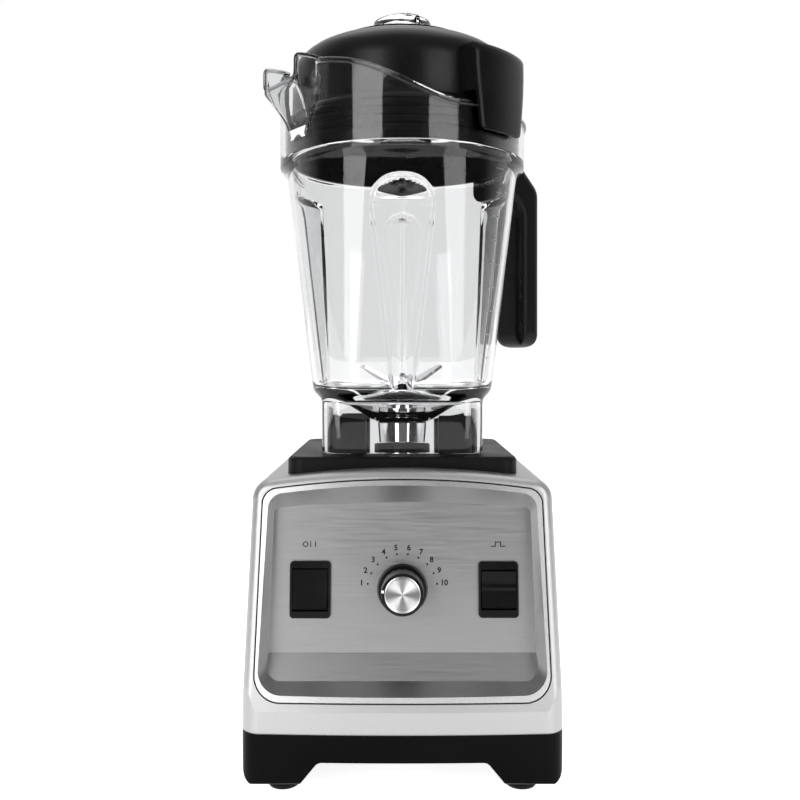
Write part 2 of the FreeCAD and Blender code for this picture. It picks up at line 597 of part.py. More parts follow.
# ---------------------------------------------------------------- motor
def motor_frame():
    for name, z, cup_z in (("lower_motor_bracket", 46.0, (50.0, 57.5)), ("upper_motor_bracket", 162.0, (166.0, 173.5))):
        plate = rounded_block(MOTOR_HALF, MOTOR_HALF, 8, z, z + 4)
        for sx, sy in ((1, 0), (-1, 0), (0, 1), (0, -1)):
            plate = plate.cut(cylinder(9, z - 1, z + 5, 28 * sx, 28 * sy))
        plate = plate.fuse(ring(15, BEARING_R + 0.05, *cup_z)).cut(cylinder(6, z - 1, z + 5))
        for x, y in four_corners(MOTOR_BOLT, MOTOR_BOLT):
            plate = plate.cut(cylinder(2.3, z - 1, z + 5, x, y))
        save(name, plate.removeSplitter())

    stator = rounded_block(MOTOR_HALF, MOTOR_HALF, 8, 90, 130).cut(cylinder(ARMATURE_R + 0.8, 80, 140))
    for x, y in four_corners(31.5, 34):
        stator = stator.cut(box(x - 4.7, x + 4.7, y - 7.2, y + 7.2, 80, 140))
    for x, y in four_corners(MOTOR_BOLT, MOTOR_BOLT):
        stator = stator.cut(cylinder(2.3, 80, 140, x, y))
    save("motor_stator", stator)

    coils = []
    for side in (-34, 34):
        outer = box(-36, 36, side - 7, side + 7, 80, 140)
        coils.append(fillet(outer.cut(box(-27, 27, side - 9, side + 9, 89.9, 130.1)), 4.0,
                            lambda p: abs(p.y - side) < 1 and abs(p.x) > 35))
    save("field_coils", *coils)

    bolts, mounts = [], []
    for x, y in four_corners(MOTOR_BOLT, MOTOR_BOLT):
        mounts.append(cylinder(7.5, ARCH_TOP_Z + TRAY_WALL, 46, x, y).cut(cylinder(4.2, 41, 50, x, y)))
        bolts.append(cylinder(4.0, 42, 46, x, y).fuse(cylinder(2.2, 46, 170, x, y)).removeSplitter())
    save("motor_bolts", *bolts)
    save("motor_mounts", *mounts)

    for name, z in (("lower_bearing", LOWER_BEARING_Z), ("upper_bearing", UPPER_BEARING_Z)):
        save(name, ring(BEARING_R, SHAFT_R + RUNNING, z, z + BEARING_WIDTH))
    save("air_duct", ring(42, 40.5, 143, 160))

    holders, brushes = [], []
    for side in (0, 180):
        holder = box(15, 38, -7, 7, 63, 75).cut(box(10, 36, -4.1, 4.1, 65, 73))
        holders.append(around(holder, side))
        brushes.append(around(box(COMMUTATOR_R + 0.3, 30, -4, 4, 65.1, 72.9), side))
    save("brush_holders", *holders)
    save("carbon_brushes", *brushes)


def drive_train():
    save("motor_shaft", cylinder(SHAFT_R, SHAFT_BOTTOM_Z, SHAFT_TOP_Z))
    bore = SHAFT_R + 0.01
    core = ring(ARMATURE_R, bore, *ARMATURE_Z)
    for i in range(12):
        slot = box(14, ARMATURE_R + 2, -1.6, 1.6, ARMATURE_Z[0] - 1, ARMATURE_Z[1] + 1)
        core = core.cut(around(slot, 30 * i))
    save("armature_core", core)
    low, high = ARMATURE_Z
    ends = [ring(20, 9, low - 10, low), ring(20, 9, high, high + 10)]
    save("armature_windings", *ends)
    save("commutator", ring(COMMUTATOR_R, bore, *COMMUTATOR_Z))
    fan = ring(FAN_R, bore, FAN_Z, FAN_Z + 2).fuse(ring(9, bore, FAN_Z, FAN_Z + 12))
    for i in range(12):
        fan = fan.fuse(around(box(14, FAN_R - 1, -0.8, 0.8, FAN_Z + 2, FAN_Z + 12), 30 * i))
    save("cooling_fan", fan.removeSplitter())

    socket = cylinder(SOCKET_R, *SOCKET_Z)
    socket = fillet(socket, 1.0, lambda p: p.z > SOCKET_Z[1] - 0.1)
    socket = socket.cut(cylinder(bore, 180, SHAFT_TOP_Z)).cut(spline(0.5, SHAFT_TOP_Z, 220))
    save("drive_socket", socket)


def spline(clearance, z0, z1):
    """A round core with straight teeth, as on the blade shaft's lower end."""
    shape = cylinder(SPLINE_R - 1.6 + clearance, z0, z1)
    for i in range(SPLINE_TEETH):
        tooth = box(0, SPLINE_R + clearance, -1.3 - clearance, 1.3 + clearance, z0, z1)
        shape = shape.fuse(around(tooth, 360 / SPLINE_TEETH * i))
    return shape.removeSplitter()


# ---------------------------------------------------------------- jar
def body_half(z):
    half0, corner0, z0 = BODY_BOTTOM
    half1, corner1, z1 = BODY_TOP
    t = (z - z0) / (z1 - z0)
    return half0 + t * (half1 - half0), corner0 + t * (corner1 - corner0)


def body_section(z, inset):
    half, corner = body_half(z)
    return rounded_rectangle(half - inset, half - inset, corner - inset, z)


def radial(shape, azimuth):
    """Turn a shape drawn with u along +X to its azimuth."""
    return around(shape, azimuth)


def below_rim(drop):
    """Everything under the rim: low at the handle, rising in an S towards the spout."""
    low, high = RIM_LOW_Z - drop, RIM_HIGH_Z - drop
    third = (RIM_END_U - RIM_START_U) / 3
    half = 130.0
    curve = Part.BezierCurve()
    curve.setPoles([
        Vector(RIM_START_U, -half, low),
        Vector(RIM_START_U + third, -half, low),
        Vector(RIM_END_U - third, -half, high),
        Vector(RIM_END_U, -half, high),
    ])
    corners = [
        Vector(RIM_END_U, -half, high),
        Vector(half, -half, high),
        Vector(half, -half, 380),
        Vector(-half, -half, 380),
        Vector(-half, -half, low),
        Vector(RIM_START_U, -half, low),
    ]
    edges = [curve.toShape()] + [Part.LineSegment(a, b).toShape() for a, b in zip(corners, corners[1:])]
    block = Part.Face(Part.Wire(edges)).extrude(Vector(0, 2 * half, 0))
    return radial(block, SPOUT_AZIMUTH)


def baffle(inset):
    """One V-shaped flute in the jar's wall on the -Y side; inset makes the ridge inside it."""
    sections = []
    for z in (243.0 - 2 * inset, 315.0, 395.0):
        apex = 54.5 + 0.036 * (z - 240) - 1.4 * inset
        wall = body_half(z)[0]
        half = 5.0 + 0.1144 * (z - 240) + inset
        flat = BAFFLE_FLAT + 0.15 * inset
        mouth = 95.0
        wide = flat + (half - flat) / (wall - apex) * (mouth - apex)
        points = [(-flat, -apex, z), (flat, -apex, z), (wide, -mouth, z), (-wide, -mouth, z)]
        corners = [Vector(*p) for p in points]
        sections.append(Part.makePolygon(corners + corners[:1]))
    wedge = loft(sections)
    r = BAFFLE_ARCH_R + inset
    y = -BODY_TOP[0] - 10
    low, spring = 200.0, BAFFLE_ARCH_Z + 5
    edges = [
        Part.Arc(Vector(-r, y, spring), Vector(0, y, spring + r), Vector(r, y, spring)).toShape(),
        Part.LineSegment(Vector(r, y, spring), Vector(r, y, low)).toShape(),
        Part.LineSegment(Vector(r, y, low), Vector(-r, y, low)).toShape(),
        Part.LineSegment(Vector(-r, y, low), Vector(-r, y, spring)).toShape(),
    ]
    arch = Part.Face(Part.Wire(edges)).extrude(Vector(0, 42, -20))
    return wedge.common(arch)


def spout_block():
    """The spout's outer form in its own plane: u outwards along +X, y across."""
    profile = [
        Part.Arc(Vector(83.5, 0, 404), Vector(90.5, 0, 423), Vector(SPOUT_REACH, 0, SPOUT_FLOOR_Z - 2.6)).toShape(),
    ]
    corners = [
        Vector(SPOUT_REACH, 0, SPOUT_FLOOR_Z - 2.6),
        Vector(SPOUT_REACH, 0, SPOUT_WING_Z),
        Vector(80, 0, SPOUT_WING_Z + 1.0),
        Vector(80, 0, 404),
        Vector(83.5, 0, 404),
    ]
    profile += [Part.LineSegment(a, b).toShape() for a, b in zip(corners, corners[1:])]
    block = Part.Face(Part.Wire(profile)).extrude(Vector(0, 2 * SPOUT_HALF, 0))
    block.translate(Vector(0, -SPOUT_HALF, 0))
    waist = [(60, -8, 400), (60, 8, 400), (60, SPOUT_HALF, 433), (60, SPOUT_HALF, 470), (60, -SPOUT_HALF, 470),
             (60, -SPOUT_HALF, 433)]
    return block.common(prism(waist, (60, 0, 0)))


def spout_channel():
    """The pouring channel, leaving an even wall under it and at its sides."""
    half = SPOUT_HALF - SPOUT_WALL
    lip, top = Vector(97.35, -half, SPOUT_FLOOR_Z - 0.7), 480.0
    corners = [lip, Vector(104, -half, SPOUT_FLOOR_Z + 4.2), Vector(104, -half, top), Vector(76, -half, top),
               Vector(76, -half, 404.5), Vector(81, -half, 404.5)]
    edges = [Part.Arc(corners[-1], Vector(88.35, -half, 424.25), lip).toShape()]
    edges += [Part.LineSegment(a, b).toShape() for a, b in zip(corners, corners[1:])]
    block = Part.Face(Part.Wire(edges)).extrude(Vector(0, 2 * half, 0))
    waist = [(60, -5.5, 400), (60, 5.5, 400), (60, half, 433), (60, half, 490), (60, -half, 490), (60, -half, 433)]
    return block.common(prism(waist, (60, 0, 0)))


def jar_body():
    low_half, low_corner, low_z = BODY_BOTTOM
    outer = loft([body_section(low_z, 0), body_section(BODY_TOP[2], 0)])
    shoulder = loft([rounded_rectangle(54, 54, 22, 233), rounded_rectangle(low_half, low_half, low_corner, low_z)])
    foot = rounded_block(JAR_FOOT_HALF, JAR_FOOT_HALF, JAR_FOOT_CORNER, JAR_FOOT_Z, 237)
    outer = outer.fuse(shoulder).fuse(foot)
    for quarter in range(4):
        outer = outer.cut(around(baffle(0), 90 * quarter))
    collar = cone(79.0, COLLAR_BOTTOM_Z - 6, COLLAR_R, COLLAR_BOTTOM_Z + 1).fuse(cylinder(COLLAR_R, COLLAR_BOTTOM_Z + 1, 470))
    rim = ring(RIM_FLANGE_R, COLLAR_R - 1, 400, 470).cut(below_rim(RIM_FLANGE_THICK))
    outer = outer.fuse(collar.fuse(rim).common(below_rim(0)))
    outer = outer.fuse(radial(spout_block(), SPOUT_AZIMUTH))
    lug = radial(box(80, LUG_OUT, -LUG_HALF, LUG_HALF, *LUG_Z), HANDLE_AZIMUTH)
    outer = outer.fuse(lug)

    wall = JAR_WALL
    inner = loft([body_section(low_z + 1, wall), body_section(BODY_TOP[2], wall)])
    for quarter in range(4):
        inner = inner.cut(around(baffle(wall), 90 * quarter))
    inner = inner.fuse(cylinder(BODY_TOP[0] - wall, BODY_TOP[2] - 0.5, 400))
    inner = inner.fuse(cylinder(COLLAR_R - wall, COLLAR_BOTTOM_Z + 3.6, 480))
    inner = inner.fuse(cone(20, FLOOR_Z, 52, low_z + 1.01)).fuse(cylinder(11.2, 215, 230))
    inner = inner.fuse(radial(spout_channel(), SPOUT_AZIMUTH))

    hollow = rounded_block(JAR_FOOT_HALF - wall, JAR_FOOT_HALF - wall, JAR_FOOT_CORNER - wall, JAR_FOOT_Z - 1, 236)
    hollow = hollow.cut(cone(17, 220, 52, 238)).cut(box(-60, 60, -60, 60, 234, 240))
    for quarter in range(4):
        for x in (-20.5, 0, 20.5):
            rib = box(x - 0.8, x + 0.8, -51, -46.6, JAR_FOOT_Z - 2, 240)
            hollow = hollow.cut(around(rib, 90 * quarter))
    jar = outer.cut(inner).cut(hollow)
    for z in (395.5, 404.5):
        hole = Part.makeCylinder(1.6, 40, Vector(90.5, -20, z), Vector(0, 1, 0))
        jar = jar.cut(radial(hole, HANDLE_AZIMUTH))
    save("jar_body", jar)


def jar_handle():
    """The handle's side outline, given its width and rounded edges."""
    def point(u, z):
        return Vector(u, -GRIP_HALF_WIDTH, z)

    middle = 0.5 * (GRIP_IN + GRIP_OUT)
    end_z = GRIP_BOTTOM_Z + 0.5 * (GRIP_OUT - GRIP_IN)
    edges = [
        Part.LineSegment(point(80, 415), point(93, 414)),
        Part.Arc(point(93, 414), point(100.5, 411.2), point(107, 406.5)),
        Part.LineSegment(point(107, 406.5), point(117.4, 396.5)),
        Part.Arc(point(117.4, 396.5), point(121.1, 391.6), point(GRIP_OUT, 385.5)),
        Part.LineSegment(point(GRIP_OUT, 385.5), point(GRIP_OUT, end_z)),
        Part.Arc(point(GRIP_OUT, end_z), point(middle, GRIP_BOTTOM_Z), point(GRIP_IN, end_z)),
        Part.LineSegment(point(GRIP_IN, end_z), point(GRIP_IN, 369)),
        Part.Arc(point(GRIP_IN, 369), point(98.7, 377.1), point(91, 381.5)),
        Part.LineSegment(point(91, 381.5), point(80, 383)),
        Part.LineSegment(point(80, 383), point(80, 415)),
    ]
    body = Part.Face(Part.Wire([e.toShape() for e in edges])).extrude(Vector(0, 2 * GRIP_HALF_WIDTH, 0))
    body = fillet(body, 7.5, lambda p: abs(abs(p.y) - GRIP_HALF_WIDTH) < 0.1 and p.x > 81)
    end = box(60, 140, -GRIP_HALF_WIDTH, GRIP_HALF_WIDTH, GRIP_BOTTOM_Z, 430)
    body = body.common(fillet(end, 12.5, lambda p: abs(p.x - 100) < 1 and p.z < GRIP_BOTTOM_Z + 1))
    body = body.cut(cylinder(COLLAR_R, 380, 420)).cut(box(70, LUG_OUT + 0.1, -LUG_HALF - 0.1, LUG_HALF + 0.1,
                                                          LUG_Z[0] - 0.1, LUG_Z[1] + 0.1))
    body = body.cut(cone(79.0, COLLAR_BOTTOM_Z - 6, COLLAR_R, COLLAR_BOTTOM_Z + 1)).cut(cylinder(82.5, 370, 395))
    screws = []
    for z in (395.5, 404.5):
        body = body.cut(Part.makeCylinder(1.6, 27, Vector(90.5, -13, z), Vector(0, 1, 0)))
        body = body.cut(Part.makeCylinder(3.2, 10, Vector(90.5, -22, z), Vector(0, 1, 0)))
        screw = Part.makeCylinder(3.0, 2.4, Vector(90.5, -14.4, z), Vector(0, 1, 0))
        screws.append(screw.fuse(Part.makeCylinder(1.55, 24, Vector(90.5, -12, z), Vector(0, 1, 0))).removeSplitter())
    save("jar_handle", radial(body.removeSplitter(), HANDLE_AZIMUTH))
    save("handle_screws", *[radial(s, HANDLE_AZIMUTH) for s in screws])


# ---------------------------------------------------------------- blade assembly
def blade_seat():
    tube = ring(11.0, 9.05, 209.4, 234).fuse(ring(16.5, 9.05, FLOOR_Z + 1.2, FLOOR_Z + 4))
    tube = tube.fuse(ring(11.0, 5.0, 232, 236))
    save("bearing_housing", tube.removeSplitter())
    save("jar_gasket", ring(16.5, 11.2, FLOOR_Z, FLOOR_Z + 1.2))
    nut = Part.makeCone(16.0, 17.0, 11.0, Vector(0, 0, 209.0)).cut(cylinder(11.05, 200, 225))
    for i in range(6):
        notch = box(14.8, 19, -2.2, 2.2, 200, 212.5)
        nut = nut.cut(around(notch, 60 * i))
    save("retainer_nut", nut)
    save("blade_bearings", ring(9.0, 4.0 + RUNNING, 212, 218), ring(9.0, 4.0 + RUNNING, 223, 229))
    save("shaft_seal", ring(9.0, 4.0 + RUNNING, 229.2, 231.8))


def wing(root, tip, width, thickness, rise, sweep):
    """Two opposite blade wings drawn along +X: flat at the hub, then bent up or down."""
    half = 0.5 * width
    flat = box(-root, root, -half, half, 0, thickness)
    shapes = [flat]
    for side in (1, -1):
        reach = tip - root
        arm = prism(
            [(0, -half, 0), (reach, -half + sweep, 0), (reach, -half + sweep + 0.45 * width, 0), (0, half, 0)],
            (0, 0, thickness),
        )
        arm.rotate(Vector(0, 0, 0), Vector(0, 1, 0), -rise)
        arm.translate(Vector(root - 0.4, 0, 0))
        shapes.append(arm if side > 0 else around(arm, 180))
    return fused(shapes)


def blades():
    shaft = cylinder(4.0, 209, 252)
    shaft = shaft.fuse(spline(0, *SPLINE_Z))
    shaft = shaft.fuse(ring(6.0, 3.9, 236.4, 239.0))
    save("blade_shaft", shaft.removeSplitter())
    for name, z, azimuth, root, tip, width, rise, sweep in (
        ("lower_blade", 239.0, 62, 8, 25, 12, -13, 3),
        ("middle_blade", 241.2, -14, 9, 36, 12, 2, 3),
        ("upper_blade", 243.4, 30, 9, 34.5, 14, 29, 3),
    ):
        blade = wing(root, tip, width, 2.0, rise, sweep)
        blade.translate(Vector(0, 0, z))
        save(name, around(blade, azimuth).cut(cylinder(4.02, 230, 260)))
    nut = prism([(7 * math.cos(math.radians(60 * i)), 7 * math.sin(math.radians(60 * i)), 245.6) for i in range(6)],
                (0, 0, 5.4)).cut(cylinder(4.02, 240, 260))
    save("blade_nut", nut.fuse(ring(5.0, 4.02, 251, 252)).removeSplitter())


# ---------------------------------------------------------------- lid
def lid():
    r = LID_SKIRT_R
    outer = [(78.3, LID_BOTTOM_Z), (r - 0.9, LID_BOTTOM_Z), (r - 0.2, 402)]
    for i in range(4):
        z = 403.0 + 5.2 * i
        outer += [(r, z), (r, z + 3.0), (r - 1.4, z + 3.4), (r - 1.4, z + 4.8)]
    outer += [(r - 1.4, 424.5), (LID_CROWN_R + 0.6, 427), (LID_CROWN_R, 430), (LID_CROWN_R, 455), (75.4, 459),
              (73.6, 463.5), (70.6, 468), (66, 471.6), (57.5, 475.6), (53.8, 477.0), (51.6, 477.0), (51.2, 475.8),
              (49.9, 475.8), (49.7, 479.4), (49.0, 480.0), (27.0, 480.2), (NECK_R, 480.2)]
    inner = [(NECK_R, 476.6), (46.5, 475.6), (48.5, 473.8), (57, 472), (64.5, 468.4), (68.4, 465.2),
             (71.2, 461.5), (72.6, 456), (72.8, 430), (74.5, 426.5), (78.3, 423)]
    body = turned(outer + inner)
    for azimuth in FLAP_AZIMUTHS:
        body = body.fuse(radial(flap(), azimuth))
    save("lid", body.removeSplitter())
    neck = turned([(PLUG_HOLE_R, NECK_Z[0]), (NECK_R, NECK_Z[0]), (NECK_R, NECK_Z[1]), (PLUG_HOLE_R, NECK_Z[1])])
    save("plug_collar", neck)


def flap():
    """One pull tab: a tapered curtain outside the rim, joined to the crown above it."""
    top, bottom = 460.5, 405.5
    outline = [(40, -26, top), (40, 26, top), (40, 25, 440), (40, 20.2, bottom + 2.5), (40, 18.0, bottom),
               (40, -18.0, bottom), (40, -20.2, bottom + 2.5), (40, -25, 440)]
    curtain = prism(outline, (60, 0, 0)).common(ring(FLAP_OUT, FLAP_IN, 400, 470))
    bridge = prism(outline, (60, 0, 0)).common(ring(FLAP_OUT, LID_CROWN_R - 1.5, 430.5, 459.0))
    cover = prism(
        [(LID_CROWN_R - 6, -26, 459), (FLAP_OUT + 5, -26, 459), (FLAP_OUT + 5, -26, 455), (LID_CROWN_R - 6, -26, 468)],
        (0, 52, 0),
    )
    cover = cover.common(ring(FLAP_OUT, LID_CROWN_R - 4, 452, 464))
    return curtain.fuse(bridge).fuse(cover)


def lid_plug():
    """A measuring cup closed by a cap, which has three scallops to grip it by."""
    bore = PLUG_R - 2.2
    cup = turned([(bore, 452), (PLUG_R, 452), (PLUG_R, 480.6), (22.8, 480.6), (22.8, 484), (20.4, 484), (20.4, 496.6),
                  (19.2, 498.3), (14.0, 499.3), (0, TOTAL_HEIGHT), (0, 496.0), (12.0, 494.8), (14.2, 492.4),
                  (14.2, 484.0), (bore, 482.0)])
    for azimuth in PLUG_SCALLOPS:
        cup = cup.cut(radial(cylinder(16.0, 484.0, 505, 33.2, 0), azimuth))
    save("lid_plug", cup.removeSplitter())


# ---------------------------------------------------------------- build
def build():
    base_tray()
    housing()
    feet()
    base_screws()
    cord_gland()
    funnel = recess_funnel()
    front_bezel(funnel)
    front_panel(funnel)
    rocker_switch("power", POWER_X, POWER_FRAME, POWER_ROCKER, POWER_REST_TILT, False)
    rocker_switch("pulse", PULSE_X, PULSE_FRAME, PULSE_ROCKER, PULSE_REST_TILT, True)
    speed_control()
    electronics()
    top_cap()
    centring_pad()
    motor_frame()
    drive_train()
    jar_body()
    jar_handle()
    blade_seat()
    blades()
    lid()
    lid_plug()


build()
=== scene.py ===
"""The countertop blender's looks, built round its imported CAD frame.

Units are metres in the row frame: Z up from the worktop, -Y out of the control panel.
"""

import json
import math

import bmesh
import bpy
from mathutils import Matrix, Vector


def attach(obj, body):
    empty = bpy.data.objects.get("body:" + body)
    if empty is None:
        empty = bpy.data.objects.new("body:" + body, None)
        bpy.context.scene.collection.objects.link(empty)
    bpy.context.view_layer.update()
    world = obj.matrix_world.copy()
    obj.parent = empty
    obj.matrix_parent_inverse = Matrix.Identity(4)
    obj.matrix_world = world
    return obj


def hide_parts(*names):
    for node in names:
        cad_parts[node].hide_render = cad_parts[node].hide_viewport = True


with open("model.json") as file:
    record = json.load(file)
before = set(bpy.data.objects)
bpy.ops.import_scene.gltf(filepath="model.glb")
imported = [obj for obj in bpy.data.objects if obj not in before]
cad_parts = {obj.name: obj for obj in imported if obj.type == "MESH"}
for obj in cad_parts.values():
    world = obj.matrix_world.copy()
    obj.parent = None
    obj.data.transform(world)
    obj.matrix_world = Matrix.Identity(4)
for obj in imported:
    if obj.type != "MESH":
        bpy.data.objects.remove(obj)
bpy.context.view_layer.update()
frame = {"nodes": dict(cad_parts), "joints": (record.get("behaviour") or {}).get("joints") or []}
MM = 0.001
JOINTS = {joint["name"]: joint for joint in frame["joints"]}

# ---------------------------------------------------------------- places taken from the frame
SPOUT_AZIMUTH = math.radians(217.0)
AXIS_X = JOINTS["drive_spin"]["pos_m"][0]
KNOB_AXIS = -Vector(JOINTS["speed_knob_turn"]["axis"])
PANEL_ORIGIN = Vector(JOINTS["speed_knob_turn"]["pos_m"])
PANEL_UP = KNOB_AXIS.cross(Vector((1, 0, 0))).normalized()
PANEL = Matrix.Translation(PANEL_ORIGIN) @ Matrix(
    ((1, PANEL_UP.x, KNOB_AXIS.x), (0, PANEL_UP.y, KNOB_AXIS.y), (0, PANEL_UP.z, KNOB_AXIS.z))
).to_4x4()


# ---------------------------------------------------------------- material helpers
def new_material(name, color, roughness, metallic=0.0, **sockets):
    """A Principled material and its node tree; extra sockets are set by name."""
    material = bpy.data.materials.new(name)
    material.use_nodes = True
    tree = material.node_tree
    shader = tree.nodes["Principled BSDF"]
    shader.inputs["Base Color"].default_value = (*color, 1)
    shader.inputs["Roughness"].default_value = roughness
    shader.inputs["Metallic"].default_value = metallic
    for key, value in sockets.items():
        shader.inputs[key.replace("_", " ")].default_value = value
    return material, tree, shader


def add(tree, kind, **settings):
    node = tree.nodes.new(kind)
    for key, value in settings.items():
        if key in node.inputs:
            node.inputs[key].default_value = value
        else:
            setattr(node, key, value)
    return node


def stretched_noise(tree, scale, stretch=(1, 1, 1), detail=4.0, seed=0.0):
    """A noise in object space, stretched by a factor along each axis."""
    place = add(tree, "ShaderNodeTexCoord")
    mapping = add(tree, "ShaderNodeMapping")
    mapping.inputs["Scale"].default_value = stretch
    mapping.inputs["Location"].default_value = (seed, seed, seed)
    noise = add(tree, "ShaderNodeTexNoise", Scale=scale, Detail=detail)
    tree.links.new(place.outputs["Object"], mapping.inputs["Vector"])
    tree.links.new(mapping.outputs["Vector"], noise.inputs["Vector"])
    return noise.outputs["Fac"]


def ramp(tree, value, low, high, start=0.3, end=0.7):
    node = add(tree, "ShaderNodeMapRange")
    node.inputs["From Min"].default_value = start
    node.inputs["From Max"].default_value = end
    node.inputs["To Min"].default_value = low
    node.inputs["To Max"].default_value = high
    tree.links.new(value, node.inputs["Value"])
    return node.outputs["Result"]


def tint(tree, value, low, high, start=0.3, end=0.7):
    node = add(tree, "ShaderNodeValToRGB")
    node.color_ramp.elements[0].position = start
    node.color_ramp.elements[0].color = (*low, 1)
    node.color_ramp.elements[1].position = end
    node.color_ramp.elements[1].color = (*high, 1)
    tree.links.new(value, node.inputs["Fac"])
    return node.outputs["Color"]


def bump(tree, shader, value, distance, strength=1.0):
    node = add(tree, "ShaderNodeBump", Strength=strength, Distance=distance)
    tree.links.new(value, node.inputs["Height"])
    tree.links.new(node.outputs["Normal"], shader.inputs["Normal"])


def moulded(name, color, roughness, grain_scale, grain_depth, spread=0.35, **sockets):
    """Moulded plastic or rubber: a fine grain, and colour and gloss that wander slightly."""
    material, tree, shader = new_material(name, color, roughness, **sockets)
    broad = stretched_noise(tree, 14.0, detail=6.0)
    low = tuple(c * (1 - spread) for c in color)
    high = tuple(c * (1 + spread) for c in color)
    tree.links.new(tint(tree, broad, low, high), shader.inputs["Base Color"])
    gloss = ramp(tree, stretched_noise(tree, 40.0, seed=3.0), roughness - 0.05, roughness + 0.07)
    tree.links.new(gloss, shader.inputs["Roughness"])
    bump(tree, shader, stretched_noise(tree, grain_scale, detail=2.0, seed=7.0), grain_depth)
    return material


def metal(name, color, roughness, stretch=(1, 1, 1), scale=300.0, depth=0.00002, spread=0.12, **sockets):
    """Metal whose machining or brushing marks run along the short axis of the stretch."""
    material, tree, shader = new_material(name, color, roughness, 1.0, **sockets)
    marks = stretched_noise(tree, scale, stretch, detail=6.0)
    low = tuple(c * (1 - spread) for c in color)
    high = tuple(min(1.0, c * (1 + spread)) for c in color)
    tree.links.new(tint(tree, marks, low, high), shader.inputs["Base Color"])
    gloss = ramp(tree, marks, roughness - 0.06, roughness + 0.08)
    tree.links.new(gloss, shader.inputs["Roughness"])
    bump(tree, shader, marks, depth)
    return material


def clear_plastic(name, color, roughness, ior):
    """Clear moulding: faint waviness in its surface and its gloss."""
    material, tree, shader = new_material(name, color, roughness, Transmission_Weight=1.0, IOR=ior)
    wander = stretched_noise(tree, 30.0, detail=3.0)
    tree.links.new(ramp(tree, wander, roughness * 0.5, roughness * 1.6), shader.inputs["Roughness"])
    bump(tree, shader, stretched_noise(tree, 45.0, (1, 1, 0.25), detail=1.0, seed=2.0), 0.00012, 0.5)
    return material


# How many bright streaks the knob face's painted highlight has.
PAINTED_HIGHLIGHT_RAYS = 4


def spun_metal_painted_rays(name, color, roughness):
    """Aluminium turned on a lathe: fine rings, and a fan of bright streaks that is a painted highlight in
    the base colour; the two run along the UV map.
    """
    material, tree, shader = new_material(name, color, roughness, 1.0, Anisotropic=0.9)
    place = add(tree, "ShaderNodeTexCoord")
    rings = add(tree, "ShaderNodeTexWave", wave_type="BANDS", bands_direction="Y", Scale=14.0,
                Distortion=0.4)
    tree.links.new(place.outputs["UV"], rings.inputs["Vector"])
    # Painted highlight: bright streaks fanned round the face and laid into the base colour, standing in for
    # the lamps reflected in the turning marks.
    painted_rays = add(tree, "ShaderNodeTexWave", wave_type="BANDS", bands_direction="X",
               Scale=PAINTED_HIGHLIGHT_RAYS * math.pi / 10)
    tree.links.new(place.outputs["UV"], painted_rays.inputs["Vector"])
    rings_and_painted_rays = add(tree, "ShaderNodeMath", operation="MULTIPLY_ADD")
    tree.links.new(rings.outputs["Fac"], rings_and_painted_rays.inputs[0])
    rings_and_painted_rays.inputs[1].default_value = 0.22
    tree.links.new(painted_rays.outputs["Fac"], rings_and_painted_rays.inputs[2])
    # The base colour runs from dark to bright with the rings and with the painted highlight streaks.
    low = tuple(c * 0.28 for c in color)
    tree.links.new(tint(tree, rings_and_painted_rays.outputs[0], low, color, 0.15, 1.15), shader.inputs["Base Color"])
    around = add(tree, "ShaderNodeTangent", direction_type="UV_MAP", uv_map="turning")
    tree.links.new(around.outputs["Tangent"], shader.inputs["Tangent"])
    bump(tree, shader, rings.outputs["Fac"], 0.00001, 0.4)
    return material


DULL = {"Specular_IOR_Level": 0.09}
BLACK_SHELL = moulded("black_shell", (0.002, 0.002, 0.0023), 0.34, 900.0, 0.00003,
                      Specular_IOR_Level=0.035)
CAP_GRAIN = moulded("cap_grain", (0.0035, 0.0035, 0.004), 0.42, 620.0, 0.0003, **DULL)
SOFT_RUBBER = moulded("soft_rubber", (0.005, 0.005, 0.005), 0.6, 1200.0, 0.00008, **DULL)
LID_RUBBER = moulded("lid_rubber", (0.003, 0.003, 0.0033), 0.27, 800.0, 0.00003, Specular_IOR_Level=0.14)
HANDLE_BLACK = moulded("handle_black", (0.0035, 0.0035, 0.004), 0.34, 900.0, 0.00005, **DULL)
SWITCH_BLACK = moulded("switch_black", (0.004, 0.004, 0.0045), 0.22, 1500.0, 0.00001,
                       Specular_IOR_Level=0.12)
KNOB_BLACK = moulded("knob_black", (0.004, 0.004, 0.0045), 0.16, 1500.0, 0.00001, Specular_IOR_Level=0.3)
SOCKET_BLACK = moulded("socket_black", (0.006, 0.006, 0.0065), 0.32, 900.0, 0.00004, **DULL)
CARBON = moulded("carbon", (0.03, 0.03, 0.032), 0.6, 1200.0, 0.00005)
BOARD = moulded("circuit_board", (0.02, 0.12, 0.05), 0.4, 500.0, 0.00004)
SILVER = metal("silver_paint", (0.37, 0.37, 0.374), 0.42, scale=2200.0, depth=0.000012, spread=0.07)
BEZEL_SILVER = metal("bezel_silver", (0.50, 0.50, 0.505), 0.32, scale=2200.0, depth=0.000012, spread=0.07)
PANEL_STEEL = metal("panel_steel", (0.25, 0.25, 0.253), 0.38, (0.012, 1.0, 1.0), 3200.0, 0.000006, 0.07)
STEEL = metal("steel", (0.62, 0.62, 0.64), 0.25)
POLISHED = metal("polished_steel", (0.74, 0.74, 0.76), 0.10, (1, 1, 0.1), 200.0, 0.000008, 0.06)
LAMINATION = metal("lamination", (0.28, 0.28, 0.30), 0.45, (0.05, 0.05, 1.0), 900.0)
COPPER = metal("copper", (0.72, 0.33, 0.16), 0.3, (0.1, 0.1, 1.0), 900.0)
BRASS = metal("brass", (0.75, 0.58, 0.28), 0.3)
ALUMINIUM = metal("aluminium", (0.78, 0.78, 0.80), 0.3)
SPUN_PAINTED_RAYS = spun_metal_painted_rays("spun_aluminium_painted_rays", (0.8, 0.8, 0.81), 0.24)
